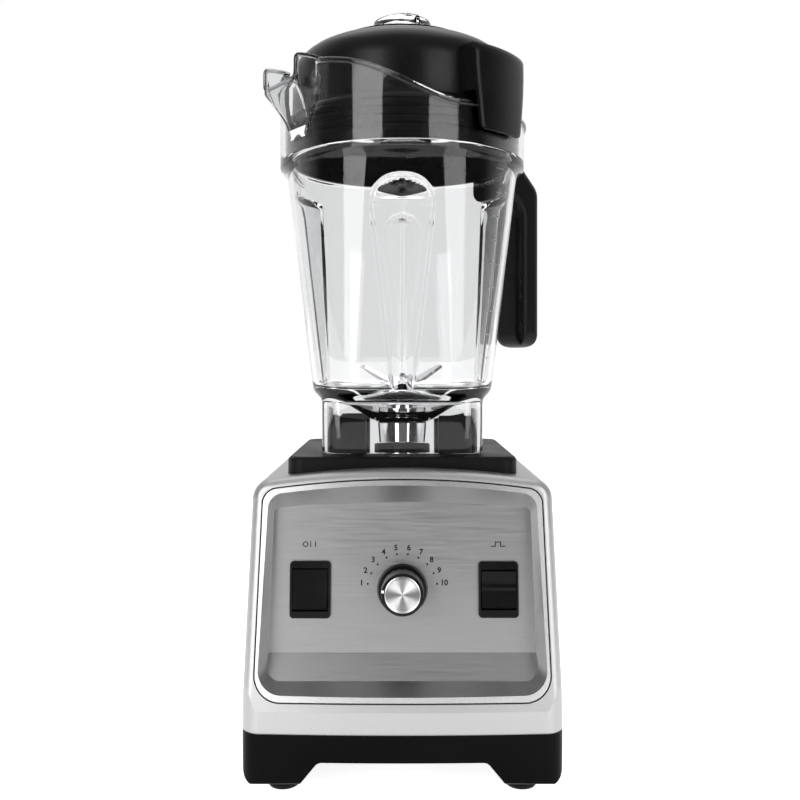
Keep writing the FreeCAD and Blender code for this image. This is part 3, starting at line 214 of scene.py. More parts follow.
CLEAR_JAR = clear_plastic("clear_jar", (0.865, 0.868, 0.872), 0.012, 1.33)
FROSTED = clear_plastic("frosted_mark", (0.75, 0.76, 0.77), 0.45, 1.42)
CLEAR_PLUG = clear_plastic("clear_plug", (0.88, 0.885, 0.89), 0.02, 1.36)
# Painted shade: the spout and its rim bead are darker copies of the jar's clear plastic, the rim darkest,
# standing in for the dark edges that refraction gives the thin spout.
SHADED_SPOUT_EDGE = clear_plastic("spout_edge_painted_shade", (0.45, 0.455, 0.46), 0.02, 1.3)
SHADED_CLEAR_SPOUT = clear_plastic("clear_spout_painted_shade", (0.74, 0.745, 0.75), 0.01, 1.3)
PRINT_BLACK = moulded("print_black", (0.006, 0.006, 0.007), 0.5, 1500.0, 0.00001,
                      Specular_IOR_Level=0.1)
PRINT_WHITE = moulded("print_white", (0.85, 0.85, 0.85), 0.5, 1500.0, 0.00001, spread=0.05)

# ---------------------------------------------------------------- finishes on the CAD nodes
FINISHES = {
    BLACK_SHELL: ["base_tray", "cord_gland", "air_duct", "cooling_fan"],
    CAP_GRAIN: ["top_cap"],
    SOFT_RUBBER: ["centring_pad", "foot_front_left", "foot_front_right", "foot_rear_left",
                  "foot_rear_right", "motor_mounts", "jar_gasket", "shaft_seal"],
    SILVER: ["housing"],
    BEZEL_SILVER: ["front_bezel"],
    PANEL_STEEL: ["front_panel"],
    SWITCH_BLACK: ["power_switch_body", "pulse_switch_body", "power_rocker", "pulse_rocker"],
    KNOB_BLACK: ["speed_knob"],
    PRINT_WHITE: ["knob_pointer"],
    SOCKET_BLACK: ["drive_socket"],
    HANDLE_BLACK: ["jar_handle"],
    STEEL: ["base_screws", "motor_bolts", "motor_shaft", "upper_bearing", "lower_bearing",
            "potentiometer_nut", "potentiometer_shaft", "potentiometer_body", "handle_screws",
            "blade_bearings", "upper_motor_bracket", "lower_motor_bracket"],
    POLISHED: ["lower_blade", "middle_blade", "upper_blade", "blade_nut", "blade_shaft",
               "bearing_housing", "retainer_nut"],
    LAMINATION: ["motor_stator", "armature_core"],
    COPPER: ["field_coils", "armature_windings", "commutator"],
    BRASS: ["brush_holders"],
    CARBON: ["carbon_brushes"],
    BOARD: ["speed_board"],
    LID_RUBBER: ["lid", "plug_collar"],
    ALUMINIUM: ["heat_sink", "knob_cap"],
    CLEAR_JAR: ["jar_body"],
    CLEAR_PLUG: ["lid_plug"],
}
BEVELS = {
    "base_tray": 0.8, "housing": 0.5, "front_bezel": 0.5, "top_cap": 0.6, "centring_pad": 0.8,
    "drive_socket": 0.5, "retainer_nut": 0.4, "power_rocker": 0.6, "pulse_rocker": 0.6, "speed_knob": 0.3,
    "lower_blade": 0.25, "middle_blade": 0.25, "upper_blade": 0.25, "blade_nut": 0.5, "cord_gland": 0.4,
}


def finish_nodes():
    for material, names in FINISHES.items():
        for name in names:
            slots = frame["nodes"][name].data.materials
            if not slots:
                slots.append(material)
            for i in range(len(slots)):
                slots[i] = material
    for name, width in BEVELS.items():
        edge = frame["nodes"][name].modifiers.new("edges", "BEVEL")
        edge.width = width * MM
        edge.segments = 2
        edge.limit_method = "ANGLE"
        edge.angle_limit = math.radians(35)
        edge.harden_normals = False


# ---------------------------------------------------------------- mesh helpers
def piece(name, verts, faces, material, body, nodes=(), smooth=30.0, placed=False):
    """A new mesh piece that rides on a body, drawn about the drive axis unless it is already placed."""
    shift = 0.0 if placed else AXIS_X
    mesh = bpy.data.meshes.new(name)
    mesh.from_pydata([(v[0] + shift, v[1], v[2]) for v in verts], [], faces)
    mesh.validate()
    mesh.materials.append(material)
    for polygon in mesh.polygons:
        polygon.use_smooth = True
    mesh.set_sharp_from_angle(angle=math.radians(smooth))
    item = bpy.data.objects.new(name, mesh)
    bpy.context.scene.collection.objects.link(item)
    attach(item, body)
    if nodes:
        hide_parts(*nodes)
    return item


def wrapped(rows, closed_rows=False):
    """Verts and quads of a grid whose columns close on themselves, and its rows too if asked."""
    columns = len(rows[0])
    verts = [v for row in rows for v in row]
    faces = []
    last = len(rows) if closed_rows else len(rows) - 1
    for i in range(last):
        j = (i + 1) % len(rows)
        for k in range(columns):
            m = (k + 1) % columns
            faces.append((i * columns + k, i * columns + m, j * columns + m, j * columns + k))
    return verts, faces


def polar(radius, angle, z):
    return (radius * math.cos(angle) * MM, radius * math.sin(angle) * MM, z * MM)


def smoothstep(t):
    t = min(1.0, max(0.0, t))
    return t * t * (3 - 2 * t)


# ---------------------------------------------------------------- jar
JAR_WALL = 3.0
COLLAR_OUT, COLLAR_IN = 85.0, 82.0
SPOUT_HALF, SPOUT_REACH, SPOUT_WALL = 20.8, 99.0, 2.2
SPOUT_ROOT = 83.5
SPOUT_GATE = math.asin((SPOUT_HALF - SPOUT_WALL) / SPOUT_ROOT)
FLUTE_FLAT = 1.2


def square_radius(angle, half, corner):
    """Distance from the axis to a rounded square's edge."""
    c, s = abs(math.cos(angle)), abs(math.sin(angle))
    flat = half - corner
    t = half / max(c, s)
    if t * min(c, s) <= flat:
        return t
    return flat * (c + s) + math.sqrt(corner**2 - flat**2 * (c - s) ** 2)


def body_size(z):
    t = (z - 241.0) / (393.0 - 241.0)
    return 60.0 + 19.2 * t, 34.0 + 32.0 * t


def flute_radius(angle, z, wall_radius, inset):
    """The wall drawn in by the V-shaped flute in the middle of each side."""
    quarter = 0.5 * math.pi
    off = abs((angle + 0.25 * math.pi) % quarter - 0.25 * math.pi)
    spring, arch = 358.5, 18.5 + 0.8 * inset
    wall = body_size(z)[0] - (JAR_WALL if inset else 0)
    half = 5.0 + 0.1144 * (z - 240) + inset
    if z > spring:
        rest = arch**2 - (z - spring) ** 2
        if rest <= 0:
            return wall_radius
        half = min(half, math.sqrt(rest))
    apex = 54.5 + 0.036 * (z - 240) - 1.4 * inset
    lead = smoothstep((z - 366.0 - inset) / 10.0)
    foot = smoothstep((z - 240.0 + inset) / 9.0)
    apex = wall - (wall - apex) * (1 - lead) * foot
    if half < 0.5 or wall - apex < 0.05:
        return wall_radius
    flat = min(FLUTE_FLAT + 0.15 * inset, 0.6 * half)
    spread = (half - flat) / (wall - apex)
    if math.tan(off) >= half / wall:
        return wall_radius
    side = (spread * apex - flat) / (spread * math.cos(off) - math.sin(off))
    return min(wall_radius, max(side, apex / math.cos(off)))


def rim_height(angle):
    u = SPOUT_ROOT * math.cos(angle - SPOUT_AZIMUTH)
    return 423.0 + 31.5 * smoothstep((u - 18.0) / 77.0)


def spout_offset(angle):
    return abs((angle - SPOUT_AZIMUTH + math.pi) % (2 * math.pi) - math.pi)


def jar_columns():
    """Angles round the jar, closer together over the flutes and at the spout's two walls."""
    angles = set()
    for quarter in range(4):
        middle = 90.0 * quarter
        steps = [i * 0.5 for i in range(-32, 33)] + [16.5 + i for i in range(57)]
        angles.update(round((middle + s) % 360, 3) for s in steps)
    gate = math.degrees(SPOUT_GATE)
    spout = math.degrees(SPOUT_AZIMUTH)
    for side in (-1, 1):
        near = {a for a in angles if abs(a - spout - side * gate) < 0.4}
        angles -= near
        angles.update(round(spout + side * (gate + step), 3) for step in (-0.06, 0.06))
    return [math.radians(a) for a in sorted(angles)]


def jar_shell():
    """The jar as one closed skin: under the floor, out over the foot, up, over the rim, down inside."""
    angles = jar_columns()
    rows = []

    def row(radius, height):
        rows.append([polar(radius(a), a, height(a)) for a in angles])

    def level(z):
        return lambda a: z

    def squared(half, corner, z):
        row(lambda a: square_radius(a, half, corner), level(z))

    row(level(11.3), level(220.0))
    row(level(16.5), level(220.0))
    for i in range(1, 8):
        t = i / 7
        row(lambda a, t=t: 17 + 27 * t, level(220.2 + 13.6 * t))
    squared(49.0, 11.0, 234.0)
    squared(50.0, 11.0, 233.0)
    squared(50.0, 11.0, 201.3)
    squared(50.6, 11.6, 200.5)
    squared(51.0, 12.0, 200.35)
    squared(52.2, 13.0, 200.35)
    squared(52.8, 13.8, 200.9)
    squared(53.0, 14.0, 202.0)
    squared(53.0, 14.0, 231.6)
    squared(53.2, 15.0, 233.3)
    squared(54.2, 19.0, 235.2)
    squared(57.2, 28.0, 237.8)
    squared(59.2, 32.5, 239.8)

    def wall(z, inset):
        half, corner = body_size(z)
        drop = JAR_WALL if inset else 0
        row(lambda a: flute_radius(a, z, square_radius(a, half - drop, corner - drop), inset), level(z))

    low = [242.0 + 3.6 * i for i in range(31)]
    high = [352.0 + 1.1 * i for i in range(27)]
    for z in low + high:
        wall(z, 0)
    wall(384.0, 0)
    for i in range(7):
        t = i / 6
        mix = smoothstep(t)
        z = 386.5 + 7.0 * t
        half, corner = body_size(z)
        row(lambda a, h=half, c=corner, m=mix: square_radius(a, h, c) * (1 - m) + COLLAR_OUT * m, level(z))

    def gate(angle, z):
        off = spout_offset(angle)
        if off >= SPOUT_GATE:
            return z
        return max(407.0, 400 + (SPOUT_ROOT * math.sin(off) - 5.5) * 33 / 13.1)

    def rim(radius, drop):
        inner = min(radius, COLLAR_OUT)
        row(lambda a: inner if spout_offset(a) < SPOUT_GATE else radius,
            lambda a: gate(a, rim_height(a)) - drop)

    for i in range(1, 7):
        t = i / 7
        row(level(COLLAR_OUT), lambda a, t=t: 394 + (gate(a, rim_height(a)) - 3.6 - 394) * t)
    rim(COLLAR_OUT, 3.6)
    rim(COLLAR_OUT + 0.5, 3.1)
    rim(COLLAR_OUT + 1.4, 2.6)
    rim(COLLAR_OUT + 1.6, 1.6)
    rim(COLLAR_OUT + 1.3, 0.6)
    rim(COLLAR_OUT + 0.6, 0.1)
    rim(COLLAR_IN + 0.8, 0.1)
    rim(COLLAR_IN + 0.2, 0.5)
    rim(COLLAR_IN, 1.3)
    for i in range(1, 7):
        t = 1 - i / 7
        row(level(COLLAR_IN), lambda a, t=t: 398 + (gate(a, rim_height(a)) - 2 - 398) * t)
    row(level(COLLAR_IN), level(397.2))
    row(level(COLLAR_IN - 0.8), level(396.6))
    row(lambda a: square_radius(a, 77.4, 64.0), level(396.0))
    row(lambda a: square_radius(a, 76.4, 63.2), level(394.4))
    for z in reversed([245.0 + 3.6 * i for i in range(30)] + high + [384.0, 388.5, 391.5]):
        wall(z, 2.4)
    squared(56.0, 29.5, 243.2)
    squared(53.6, 27.5, 242.2)
    for i in range(8):
        t = 1 - i / 7
        row(lambda a, t=t: 20 + 31 * t, level(226.0 + 15.2 * t**1.15))
    row(level(17.5), level(226.0))
    row(level(11.3), level(226.0))
    verts, faces = wrapped(rows, closed_rows=True)
    piece("jar_shell", verts, faces, CLEAR_JAR, "jar", ["jar_body"], smooth=40.0)


def spout_reach(z):
    """How far the spout's underside stands out at a height, up to its lip."""
    t = min(1.0, max(0.0, (z - 404.0) / 30.7))
    return SPOUT_ROOT + (SPOUT_REACH - SPOUT_ROOT) * t ** 1.75


def jar_spout():
    """A thin-walled pouring spout: a bowl faired out of the collar, with two upright wings."""
    axis = Vector((math.cos(SPOUT_AZIMUTH), math.sin(SPOUT_AZIMUTH), 0))
    across = Vector((-axis.y, axis.x, 0))
    levels = 22

    def outline(z, wall):
        """Points round the U at one height, with the top that each rises to."""
        half = min(SPOUT_HALF, 8 + (z - 400) * 12.8 / 33) - wall
        start = math.sqrt((COLLAR_OUT - 0.1) ** 2 - half**2)
        reach = max(start + 0.5, spout_reach(z) - wall)
        corner = min(3.0 - wall if wall < 2 else 1.0, 0.4 * half, 0.6 * (reach - start))
        points = []
        for i in range(7):
            points.append((start + (reach - corner - start) * i / 6, half))
        for i in range(1, 6):
            turn = math.radians(18 * i)
            points.append((reach - corner + corner * math.sin(turn),
                           half - corner + corner * math.cos(turn)))
        for i in range(1, 5):
            points.append((reach, (half - corner) * (1 - i / 5)))
        return points + [(u, -v) for u, v in reversed(points)]

    def top(k, count):
        k = min(k, count - 1 - k)
        return 452.6 - 0.2 * k if k < 9 else 437.3

    rows = []
    count = len(outline(440.0, 0.0))
    for wall, steps in ((0.0, range(levels + 1)), (SPOUT_WALL, range(levels, -1, -1))):
        for i in steps:
            section = []
            for k in range(count):
                z = 404.5 + wall + (top(k, count) - 404.5 - wall) * (i / levels)
                u, v = outline(z, wall)[k]
                section.append((axis * u + across * v) * MM + Vector((0, 0, z * MM)))
            rows.append(section)
    columns = count
    verts = [v for row in rows for v in row]
    faces = []
    for i in range(len(rows)):
        j = (i + 1) % len(rows)
        for k in range(columns - 1):
            faces.append((i * columns + k, j * columns + k, j * columns + k + 1, i * columns + k + 1))
    for k in (0, columns - 1):
        for i in range(levels):
            a, b = i, i + 1
            c, d = len(rows) - 1 - i, len(rows) - 2 - i
            quad = (a * columns + k, c * columns + k, d * columns + k, b * columns + k)
            faces.append(quad if k == 0 else tuple(reversed(quad)))
    # The spout is drawn in a darker copy of the jar's plastic: painted shade.
    spout = piece("jar_spout", verts, faces, SHADED_CLEAR_SPOUT, "jar", smooth=35.0)
    recalculate(spout)
    edge = SPOUT_HALF - 1.1
    lip = SPOUT_REACH - 1.2
    half_path = [(79.6, edge, 451.9), (84, edge, 452.2), (92, edge, 451.9), (lip - 3.2, edge, 451.5),
                 (lip - 1.2, edge, 451.0), (lip - 0.3, edge, 449.9), (lip, edge, 448.0), (lip, edge, 442.0),
                 (lip, edge - 0.3, 439.6), (lip, edge - 1.3, 438.1), (lip, edge - 3.2, 437.3),
                 (lip, 8.0, 437.0)]
    path = half_path + [(lip, 0.0, 437.0)] + [(u, -v, z) for u, v, z in reversed(half_path)]
    # The rim bead's darker plastic is painted shade along the spout's edge.
    tube("spout_rim", [axis * u + across * v + Vector((0, 0, z)) for u, v, z in path], 1.45, SHADED_SPOUT_EDGE)


def tube(name, path, radius, material, sides=14):
    """A round bead along a line of points, with closed ends."""
    rows = []
    normal = None
    for k, point in enumerate(path):
        along = (path[min(k + 1, len(path) - 1)] - path[max(k - 1, 0)]).normalized()
        normal = along.orthogonal() if normal is None else normal - along * normal.dot(along)
        normal.normalize()
        side = along.cross(normal)
        turns = [2 * math.pi * i / sides for i in range(sides)]
        rows.append([(point + (normal * math.cos(t) + side * math.sin(t)) * radius) * MM for t in turns])
    verts, faces = wrapped(rows)
    last = (len(rows) - 1) * sides
    faces += [tuple(reversed(range(sides))), tuple(last + i for i in range(sides))]
    recalculate(piece(name, verts, faces, material, "jar", smooth=50.0))


def recalculate(item):
    """Point every face of a closed piece outwards."""
    mesh = bmesh.new()
    mesh.from_mesh(item.data)
    bmesh.ops.remove_doubles(mesh, verts=mesh.verts, dist=1e-6)
    bmesh.ops.recalc_face_normals(mesh, faces=mesh.faces)
    mesh.to_mesh(item.data)
    mesh.free()


def jar_marks():
    """Raised measuring lines on the wall's right half, without figures."""
    verts, faces = [], []
    for index in range(9):
        z = 384.0 - 15.2 * index
        half, corner = body_size(z)
        azimuth = math.radians(-41.0)
        width = math.radians(3.4 if index % 2 else 5.2)
        base = len(verts)
        steps = 6
        for i in range(steps + 1):
            angle = azimuth + width * (i / steps - 0.5)
            skin = square_radius(angle, half, corner)
            for proud, rise in ((-0.2, -0.35), (0.22, -0.3), (0.22, 0.3), (-0.2, 0.35)):
                verts.append(polar(skin + proud, angle, z + rise))
        for i in range(steps):
            for k in range(4):
                m = (k + 1) % 4
                here, there = base + i * 4, base + (i + 1) * 4
                faces.append((here + k, here + m, there + m, there + k))
        faces.append(tuple(base + k for k in (3, 2, 1, 0)))
        faces.append(tuple(base + steps * 4 + k for k in range(4)))
    recalculate(piece("jar_marks", verts, faces, FROSTED, "jar"))


# ---------------------------------------------------------------- lid and plug
def turned(name, profile, material, body, nodes=(), segments=160, smooth=30.0):
    """A closed outline of (radius, height) points turned about the drive axis."""
    rows = []
    for radius, z in profile:
        rows.append([polar(radius, 2 * math.pi * k / segments, z) for k in range(segments)])
    verts, faces = wrapped(rows, closed_rows=True)
    return piece(name, verts, faces, material, body, nodes, smooth)


def lid_shell():
    outer = [(78.4, 397.4), (80.4, 397.3), (80.9, 397.8), (81.3, 401.6)]
    for i in range(4):
        z = 402.6 + 5.2 * i
        outer += [(81.35, z), (81.45, z + 0.4), (81.45, z + 2.8), (81.2, z + 3.2), (80.2, z + 3.5),
                  (80.1, z + 4.6), (80.6, z + 5.0)]
    outer += [(80.1, 424.2), (79.6, 425.2), (77.2, 426.6), (76.3, 427.6), (76.0, 429.5), (75.9, 440),
              (75.9, 453), (75.7, 456.5), (75.1, 459.8), (73.9, 463.2), (72.0, 466.5), (69.3, 469.4),
              (66.0, 471.9), (61.8, 474.0), (58.0, 475.4), (55.0, 476.5), (53.4, 476.9), (52.0, 477.0),
              (51.4, 476.7), (51.2, 475.8), (50.0, 475.7), (49.8, 476.2), (49.7, 479.0), (49.5, 479.6),
              (48.9, 479.9), (40.0, 480.1), (30.0, 480.1), (23.0, 480.1), (21.4, 480.0), (20.6, 479.4)]
    inner = [(20.5, 471.2), (21.2, 470.6), (23.2, 470.7), (23.8, 476.4), (46.0, 475.4), (48.6, 473.8),
             (57, 472), (64.5, 468.4),
             (68.4, 465.2), (71.2, 461.5), (72.6, 456), (72.8, 430), (74.5, 426.5), (78.1, 423)]
    turned("lid_shell", outer + inner, LID_RUBBER, "lid", ["lid", "plug_collar"],
           smooth=35.0)
    for index, azimuth in enumerate(TAB_AZIMUTHS):
        lid_tab("lid_tab_" + "ab"[index], math.radians(azimuth))


TAB_AZIMUTHS = (-43.3, 136.7)
TAB_LOW, TAB_SPAN = 405.5, 88.5


def lid_tab(name, azimuth):
    """One pull tab: joined to the crown at the top, hanging outside the rim, its corners rounded."""
    def half_width(z):
        if z > 440:
            return 25.2 + 0.8 * (z - 440) / 20.5
        t = (z - TAB_LOW) / (440 - TAB_LOW)
        taper = 20.2 + 5.0 * t
        corner = 3.2
        down = z - TAB_LOW
        if down < corner:
            taper -= corner - math.sqrt(corner**2 - (corner - down) ** 2)
        return taper

    heights = [TAB_LOW, 405.9, 406.8, 408.4, 411.0, 416, 422, 427, 429.4, 430.6, 435, 445, 452, 455.5,
               457.6, 458.8]
    columns = 18
    rows = []
    for z in heights:
        half = half_width(z)
        joined = z > 430
        out_r = 89.9 + 0.45 * math.sin(math.pi * (z - TAB_LOW) / 55.0)
        if z > 455:
            out_r -= 1.6 * ((z - 455) / 3.8) ** 2
        in_r, in_span = (75.2, 82.0) if joined else (87.05, TAB_SPAN)
        edge = 0.9
        section = []
        for k in range(columns + 1):
            s = -1 + 2 * k / columns
            angle = azimuth + s * (half - edge) / TAB_SPAN
            section.append(polar(out_r - 0.25 * abs(s) ** 8, angle, z))
        section.append(polar(out_r - 0.9, azimuth + half / TAB_SPAN, z))
        section.append(polar(in_r + 0.5, azimuth + half / in_span, z))
        for k in range(columns + 1):
            s = 1 - 2 * k / columns
            angle = azimuth + s * (half - edge) / in_span
            section.append(polar(in_r, angle, z))
        section.append(polar(in_r + 0.5, azimuth - half / in_span, z))
        section.append(polar(out_r - 0.9, azimuth - half / TAB_SPAN, z))
        rows.append(section)
    verts, faces = wrapped(rows)
    count = len(rows[0])
    top = len(rows) - 1
    strip = columns + 1
    for base, flip in ((0, True), (top * count, False)):
        for k in range(columns):
            quad = (base + k, base + k + 1, base + 2 * strip - k, base + 2 * strip + 1 - k)
            faces.append(quad if flip else tuple(reversed(quad)))
        right = (base + columns, base + columns + 1, base + columns + 2, base + columns + 3)
        left = (base, base + 2 * strip + 1, base + 2 * strip + 2, base + 2 * strip + 3)
        faces.append(right if flip else tuple(reversed(right)))
        faces.append(left if flip else tuple(reversed(left)))
    piece(name, verts, faces, LID_RUBBER, "lid", smooth=40.0)


SCALLOPS = (-75.0, 45.0, 165.0)


def scalloped(radius, angle, depth):
    """A radius drawn in where three finger scallops cross it."""
    for azimuth in SCALLOPS:
        off = (angle - math.radians(azimuth) + math.pi) % (2 * math.pi) - math.pi
        inside = 16.0**2 - (33.2 * math.sin(off)) ** 2
        if inside > 0 and abs(off) < 1:
            near = 33.2 * math.cos(off) - math.sqrt(inside) + depth
            radius = min(radius, near)
    return radius


def plug():
    """The clear measuring cup in the lid, closed by a cap with three scallops to grip it by."""
    cup = [(17.9, 452.4), (18.4, 452.0), (19.6, 452.0), (20.0, 452.4), (20.05, 480.5), (22.2, 480.7),
           (22.7, 481.3), (22.7, 483.2), (22.2, 483.9), (20.9, 484.1)]
    cap = [(20.3, 484.8), (20.3, 495.8), (20.0, 497.0), (19.3, 497.9), (18.0, 498.6), (14.0, 499.4),
           (6.0, 499.85), (0.8, 499.95)]
    inner = [(0.8, 496.0), (6.0, 495.8), (10.5, 495.2), (12.8, 494.0), (14.0, 492.2), (14.2, 489.0),
             (14.2, 484.6), (15.5, 483.0), (17.6, 482.0), (17.9, 479.0), (17.9, 466.0)]
    angles = [2 * math.pi * k / 144 for k in range(144)]
    rows = [[polar(radius, a, z) for a in angles] for radius, z in cup]
    for radius, z in cap:
        rows.append([polar(scalloped(radius, a, max(0.0, z - 497.0)), a, z) for a in angles])
    rows += [[polar(radius, a, z) for a in angles] for radius, z in inner]
    verts, faces = wrapped(rows, closed_rows=True)
    piece("plug_cup", verts, faces, CLEAR_PLUG, "plug", ["lid_plug"], smooth=35.0)


# ---------------------------------------------------------------- printed marks on the panel
def on_panel(x, y, z=0.0):
    return PANEL @ Vector((x * MM, y * MM, z * MM))


def flat_mark(outline, x, y, rise=0.08):
    """Verts and faces of a thin raised patch on the panel."""
    count = len(outline)
    verts = [on_panel(x + px, y + py, 0.01) for px, py in outline]
    verts += [on_panel(x + px, y + py, rise) for px, py in outline]
    faces = [tuple(range(count, 2 * count)), tuple(reversed(range(count)))]
    faces += [(i, (i + 1) % count, count + (i + 1) % count, count + i) for i in range(count)]
    return verts, faces


def joined_marks(name, marks, material, body):
    verts, faces = [], []
    for new_verts, new_faces in marks:
        shift = len(verts)
        verts += new_verts
        faces += [tuple(i + shift for i in face) for face in new_faces]
    return piece(name, verts, faces, material, body, placed=True)


def disc(radius, sides=20):
    return [(radius * math.cos(2 * math.pi * i / sides), radius * math.sin(2 * math.pi * i / sides))
            for i in range(sides)]


def bar(x0, y0, x1, y1):
    return [(x0, y0), (x1, y0), (x1, y1), (x0, y1)]


def hoop(radius, width, sides=28):
    """A flat ring as small quads, each a patch of its own."""
    patches = []
    for i in range(sides):
        a, b = (2 * math.pi * k / sides for k in (i, i + 1))
        corners = ((radius - width, a), (radius, a), (radius, b), (radius - width, b))
        patches.append([(r * math.cos(turn), r * math.sin(turn)) for r, turn in corners])
    return patches


DIAL_STEP, DIAL_START = 18.04, 171.2
DOT_RADIUS, NUMERAL_RADIUS, NUMERAL_HEIGHT = 21.7, 25.6, 3.4


def dial():
    dots = []
    for i in range(10):
        angle = math.radians(DIAL_START - DIAL_STEP * i)
        dots.append(flat_mark(disc(0.62), DOT_RADIUS * math.cos(angle), DOT_RADIUS * math.sin(angle)))
    joined_marks("dial_dots", dots, PRINT_BLACK, "base")
    for i in range(10):
        angle = math.radians(DIAL_START - DIAL_STEP * i)
        text = bpy.data.curves.new("numeral", "FONT")
        text.body = str(i + 1)
        text.size = NUMERAL_HEIGHT * 1.38 * MM
        text.align_x = "CENTER"
        text.align_y = "CENTER"
        text.extrude = 0.03 * MM
        text.offset = 0.13 * MM
        text.resolution_u = 4
        item = bpy.data.objects.new("dial_numeral_%d" % (i + 1), text)
        bpy.context.scene.collection.objects.link(item)
        reach = NUMERAL_RADIUS + (0.6 if i == 9 else 0.0)
        item.matrix_world = PANEL @ Matrix.Translation(
            Vector((reach * math.cos(angle), reach * math.sin(angle), 0.05)) * MM)
        bpy.context.view_layer.update()
        mesh = bpy.data.meshes.new_from_object(item.evaluated_get(bpy.context.evaluated_depsgraph_get()))
        mesh.transform(item.matrix_world)
        name = item.name
        bpy.data.objects.remove(item)
        mesh.materials.clear()
        mesh.materials.append(PRINT_BLACK)
        glyph = bpy.data.objects.new(name, mesh)
        bpy.context.scene.collection.objects.link(glyph)
        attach(glyph, "base")


def knob_cap():
    """The knob's turned aluminium face: a dished disc whose UV map runs round it."""
    edge = 10.9
    profile = [(0.06, 20.42), (1.5, 20.43), (3.2, 20.46), (5.0, 20.5), (7.0, 20.54), (9.0, 20.58),
               (10.2, 20.6), (10.6, 20.55), (10.85, 20.35), (edge, 20.05), (edge, 19.6), (10.4, 19.5),
               (0.06, 19.5)]
    segments = 128
    rows = []
    for radius, z in profile:
        rows.append([on_panel(radius * math.cos(2 * math.pi * k / segments),
                              radius * math.sin(2 * math.pi * k / segments), z) for k in range(segments)])
    verts, faces = wrapped(rows, closed_rows=True)
    # The face's bright streaks are a painted highlight in its base colour, not only reflections.
    cap = piece("knob_face", verts, faces, SPUN_PAINTED_RAYS, "speed_knob", ["knob_cap"], smooth=35.0,
                placed=True)
    chart = cap.data.uv_layers.new(name="turning")
    for polygon in cap.data.polygons:
        columns = [cap.data.loops[i].vertex_index % segments for i in polygon.loop_indices]
        wraps = max(columns) - min(columns) > 2
        for i, column in zip(polygon.loop_indices, columns):
            index = cap.data.loops[i].vertex_index
            turn = (segments if wraps and column == 0 else column) / segments
            chart.data[i].uv = (turn, profile[index // segments][0] / edge)


def switch_symbols():
    """Generic symbols over the switches: a ring and a bar for off and on, a square pulse."""
    height = 27.6
    x = -57.0
    marks = [flat_mark(patch, x - 3.2, height) for patch in hoop(1.75, 0.55)]
    marks.append(flat_mark(bar(-0.26, -1.9, 0.26, 1.9), x, height))
    marks.append(flat_mark(bar(-0.3, -1.75, 0.3, 1.75), x + 3.0, height))
    x = 59.4
    stroke = 0.28
    path = [(-4.2, -1.3), (-1.6, -1.3), (-1.6, 1.3), (1.6, 1.3), (1.6, -1.3), (4.2, -1.3)]
    for (x0, y0), (x1, y1) in zip(path, path[1:]):
        marks.append(flat_mark(bar(min(x0, x1) - stroke, min(y0, y1) - stroke, max(x0, x1) + stroke,
                                   max(y0, y1) + stroke), x, height))
    joined_marks("switch_symbols", marks, PRINT_BLACK, "base")


# ---------------------------------------------------------------- stage
def plane(name, corners, material):
    mesh = bpy.data.meshes.new(name)
    mesh.from_pydata(corners, [], [(0, 1, 2, 3)])
    mesh.materials.append(material)
    item = bpy.data.objects.new(name, mesh)
    bpy.context.scene.collection.objects.link(item)
    return item


def area_light(name, place, target, width, height, power):
    light = bpy.data.lights.new(name, "AREA")
    light.shape = "RECTANGLE"
    light.size, light.size_y = width, height
    light.energy = power
    item = bpy.data.objects.new(name, light)
    item.location = place
    item.rotation_euler = (Vector(target) - Vector(place)).to_track_quat("-Z", "Y").to_euler()
    bpy.context.scene.collection.objects.link(item)
    return item


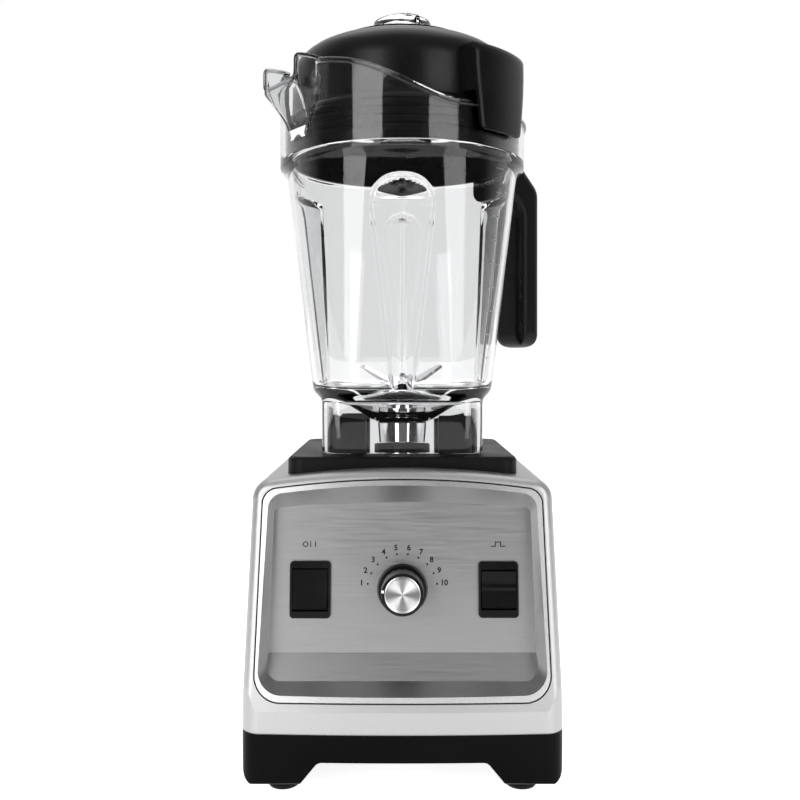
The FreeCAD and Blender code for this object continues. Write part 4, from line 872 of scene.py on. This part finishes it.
def studio():
    scene = bpy.context.scene
    scene.view_settings.view_transform = "Standard"
    world = bpy.data.worlds.new("studio")
    scene.world = world
    world.use_nodes = True
    tree = world.node_tree
    backdrop = tree.nodes["Background"]
    place = add(tree, "ShaderNodeTexCoord")
    split = add(tree, "ShaderNodeSeparateXYZ")
    tree.links.new(place.outputs["Generated"], split.inputs["Vector"])
    behind = ramp(tree, split.outputs["Y"], 0.0, 1.0, -0.25, 0.25)
    above = ramp(tree, split.outputs["Z"], 0.1, 0.7, 0.3, 0.9)
    total = add(tree, "ShaderNodeMath", operation="MAXIMUM")
    tree.links.new(behind, total.inputs[0])
    tree.links.new(above, total.inputs[1])
    tree.links.new(tint(tree, total.outputs[0], (0, 0, 0), (1, 1, 1), 0.0, 1.0), backdrop.inputs["Color"])
    backdrop.inputs["Strength"].default_value = 1.0
    paper, tree, shader = new_material("floor_paper", (0.93, 0.93, 0.93), 0.6)
    fibre = stretched_noise(tree, 60.0, detail=6.0)
    tree.links.new(tint(tree, fibre, (0.92, 0.92, 0.92), (0.94, 0.94, 0.94)), shader.inputs["Base Color"])
    shader.inputs["Emission Color"].default_value = (1, 1, 1, 1)
    reach = add(tree, "ShaderNodeSeparateXYZ")
    where = add(tree, "ShaderNodeTexCoord")
    tree.links.new(where.outputs["Object"], reach.inputs["Vector"])
    tree.links.new(ramp(tree, reach.outputs["Y"], 0.86, 0.5, 0.1, 2.5), shader.inputs["Emission Strength"])
    plane("floor", [(-80, -1.1, 0), (80, -1.1, 0), (80, 140, 0), (-80, 140, 0)], paper)
    for name, azimuth, power in (("key_left", -31, 20), ("key_right", 37, 15)):
        turn = math.radians(azimuth)
        place = (1.7 * math.sin(turn), -1.7 * math.cos(turn), 0.55)
        area_light(name, place, (0, 0, 0.3), 0.8, 1.4, power)
    area_light("top_soft", (0, 0.3, 1.9), (0, 0, 0.2), 1.4, 1.4, 9)

    camera = bpy.data.cameras.new("camera")
    camera.sensor_width = 36.0
    camera.lens = 40.5
    camera.shift_y = -0.05
    camera.clip_start = 0.01
    item = bpy.data.objects.new("camera", camera)
    item.location = (AXIS_X - 0.0015, -0.634, 0.261)
    item.rotation_euler = (math.radians(90), 0, 0)
    scene.collection.objects.link(item)
    scene.camera = item


finish_nodes()
jar_shell()
jar_spout()
jar_marks()
lid_shell()
plug()
knob_cap()
dial()
switch_symbols()
studio()
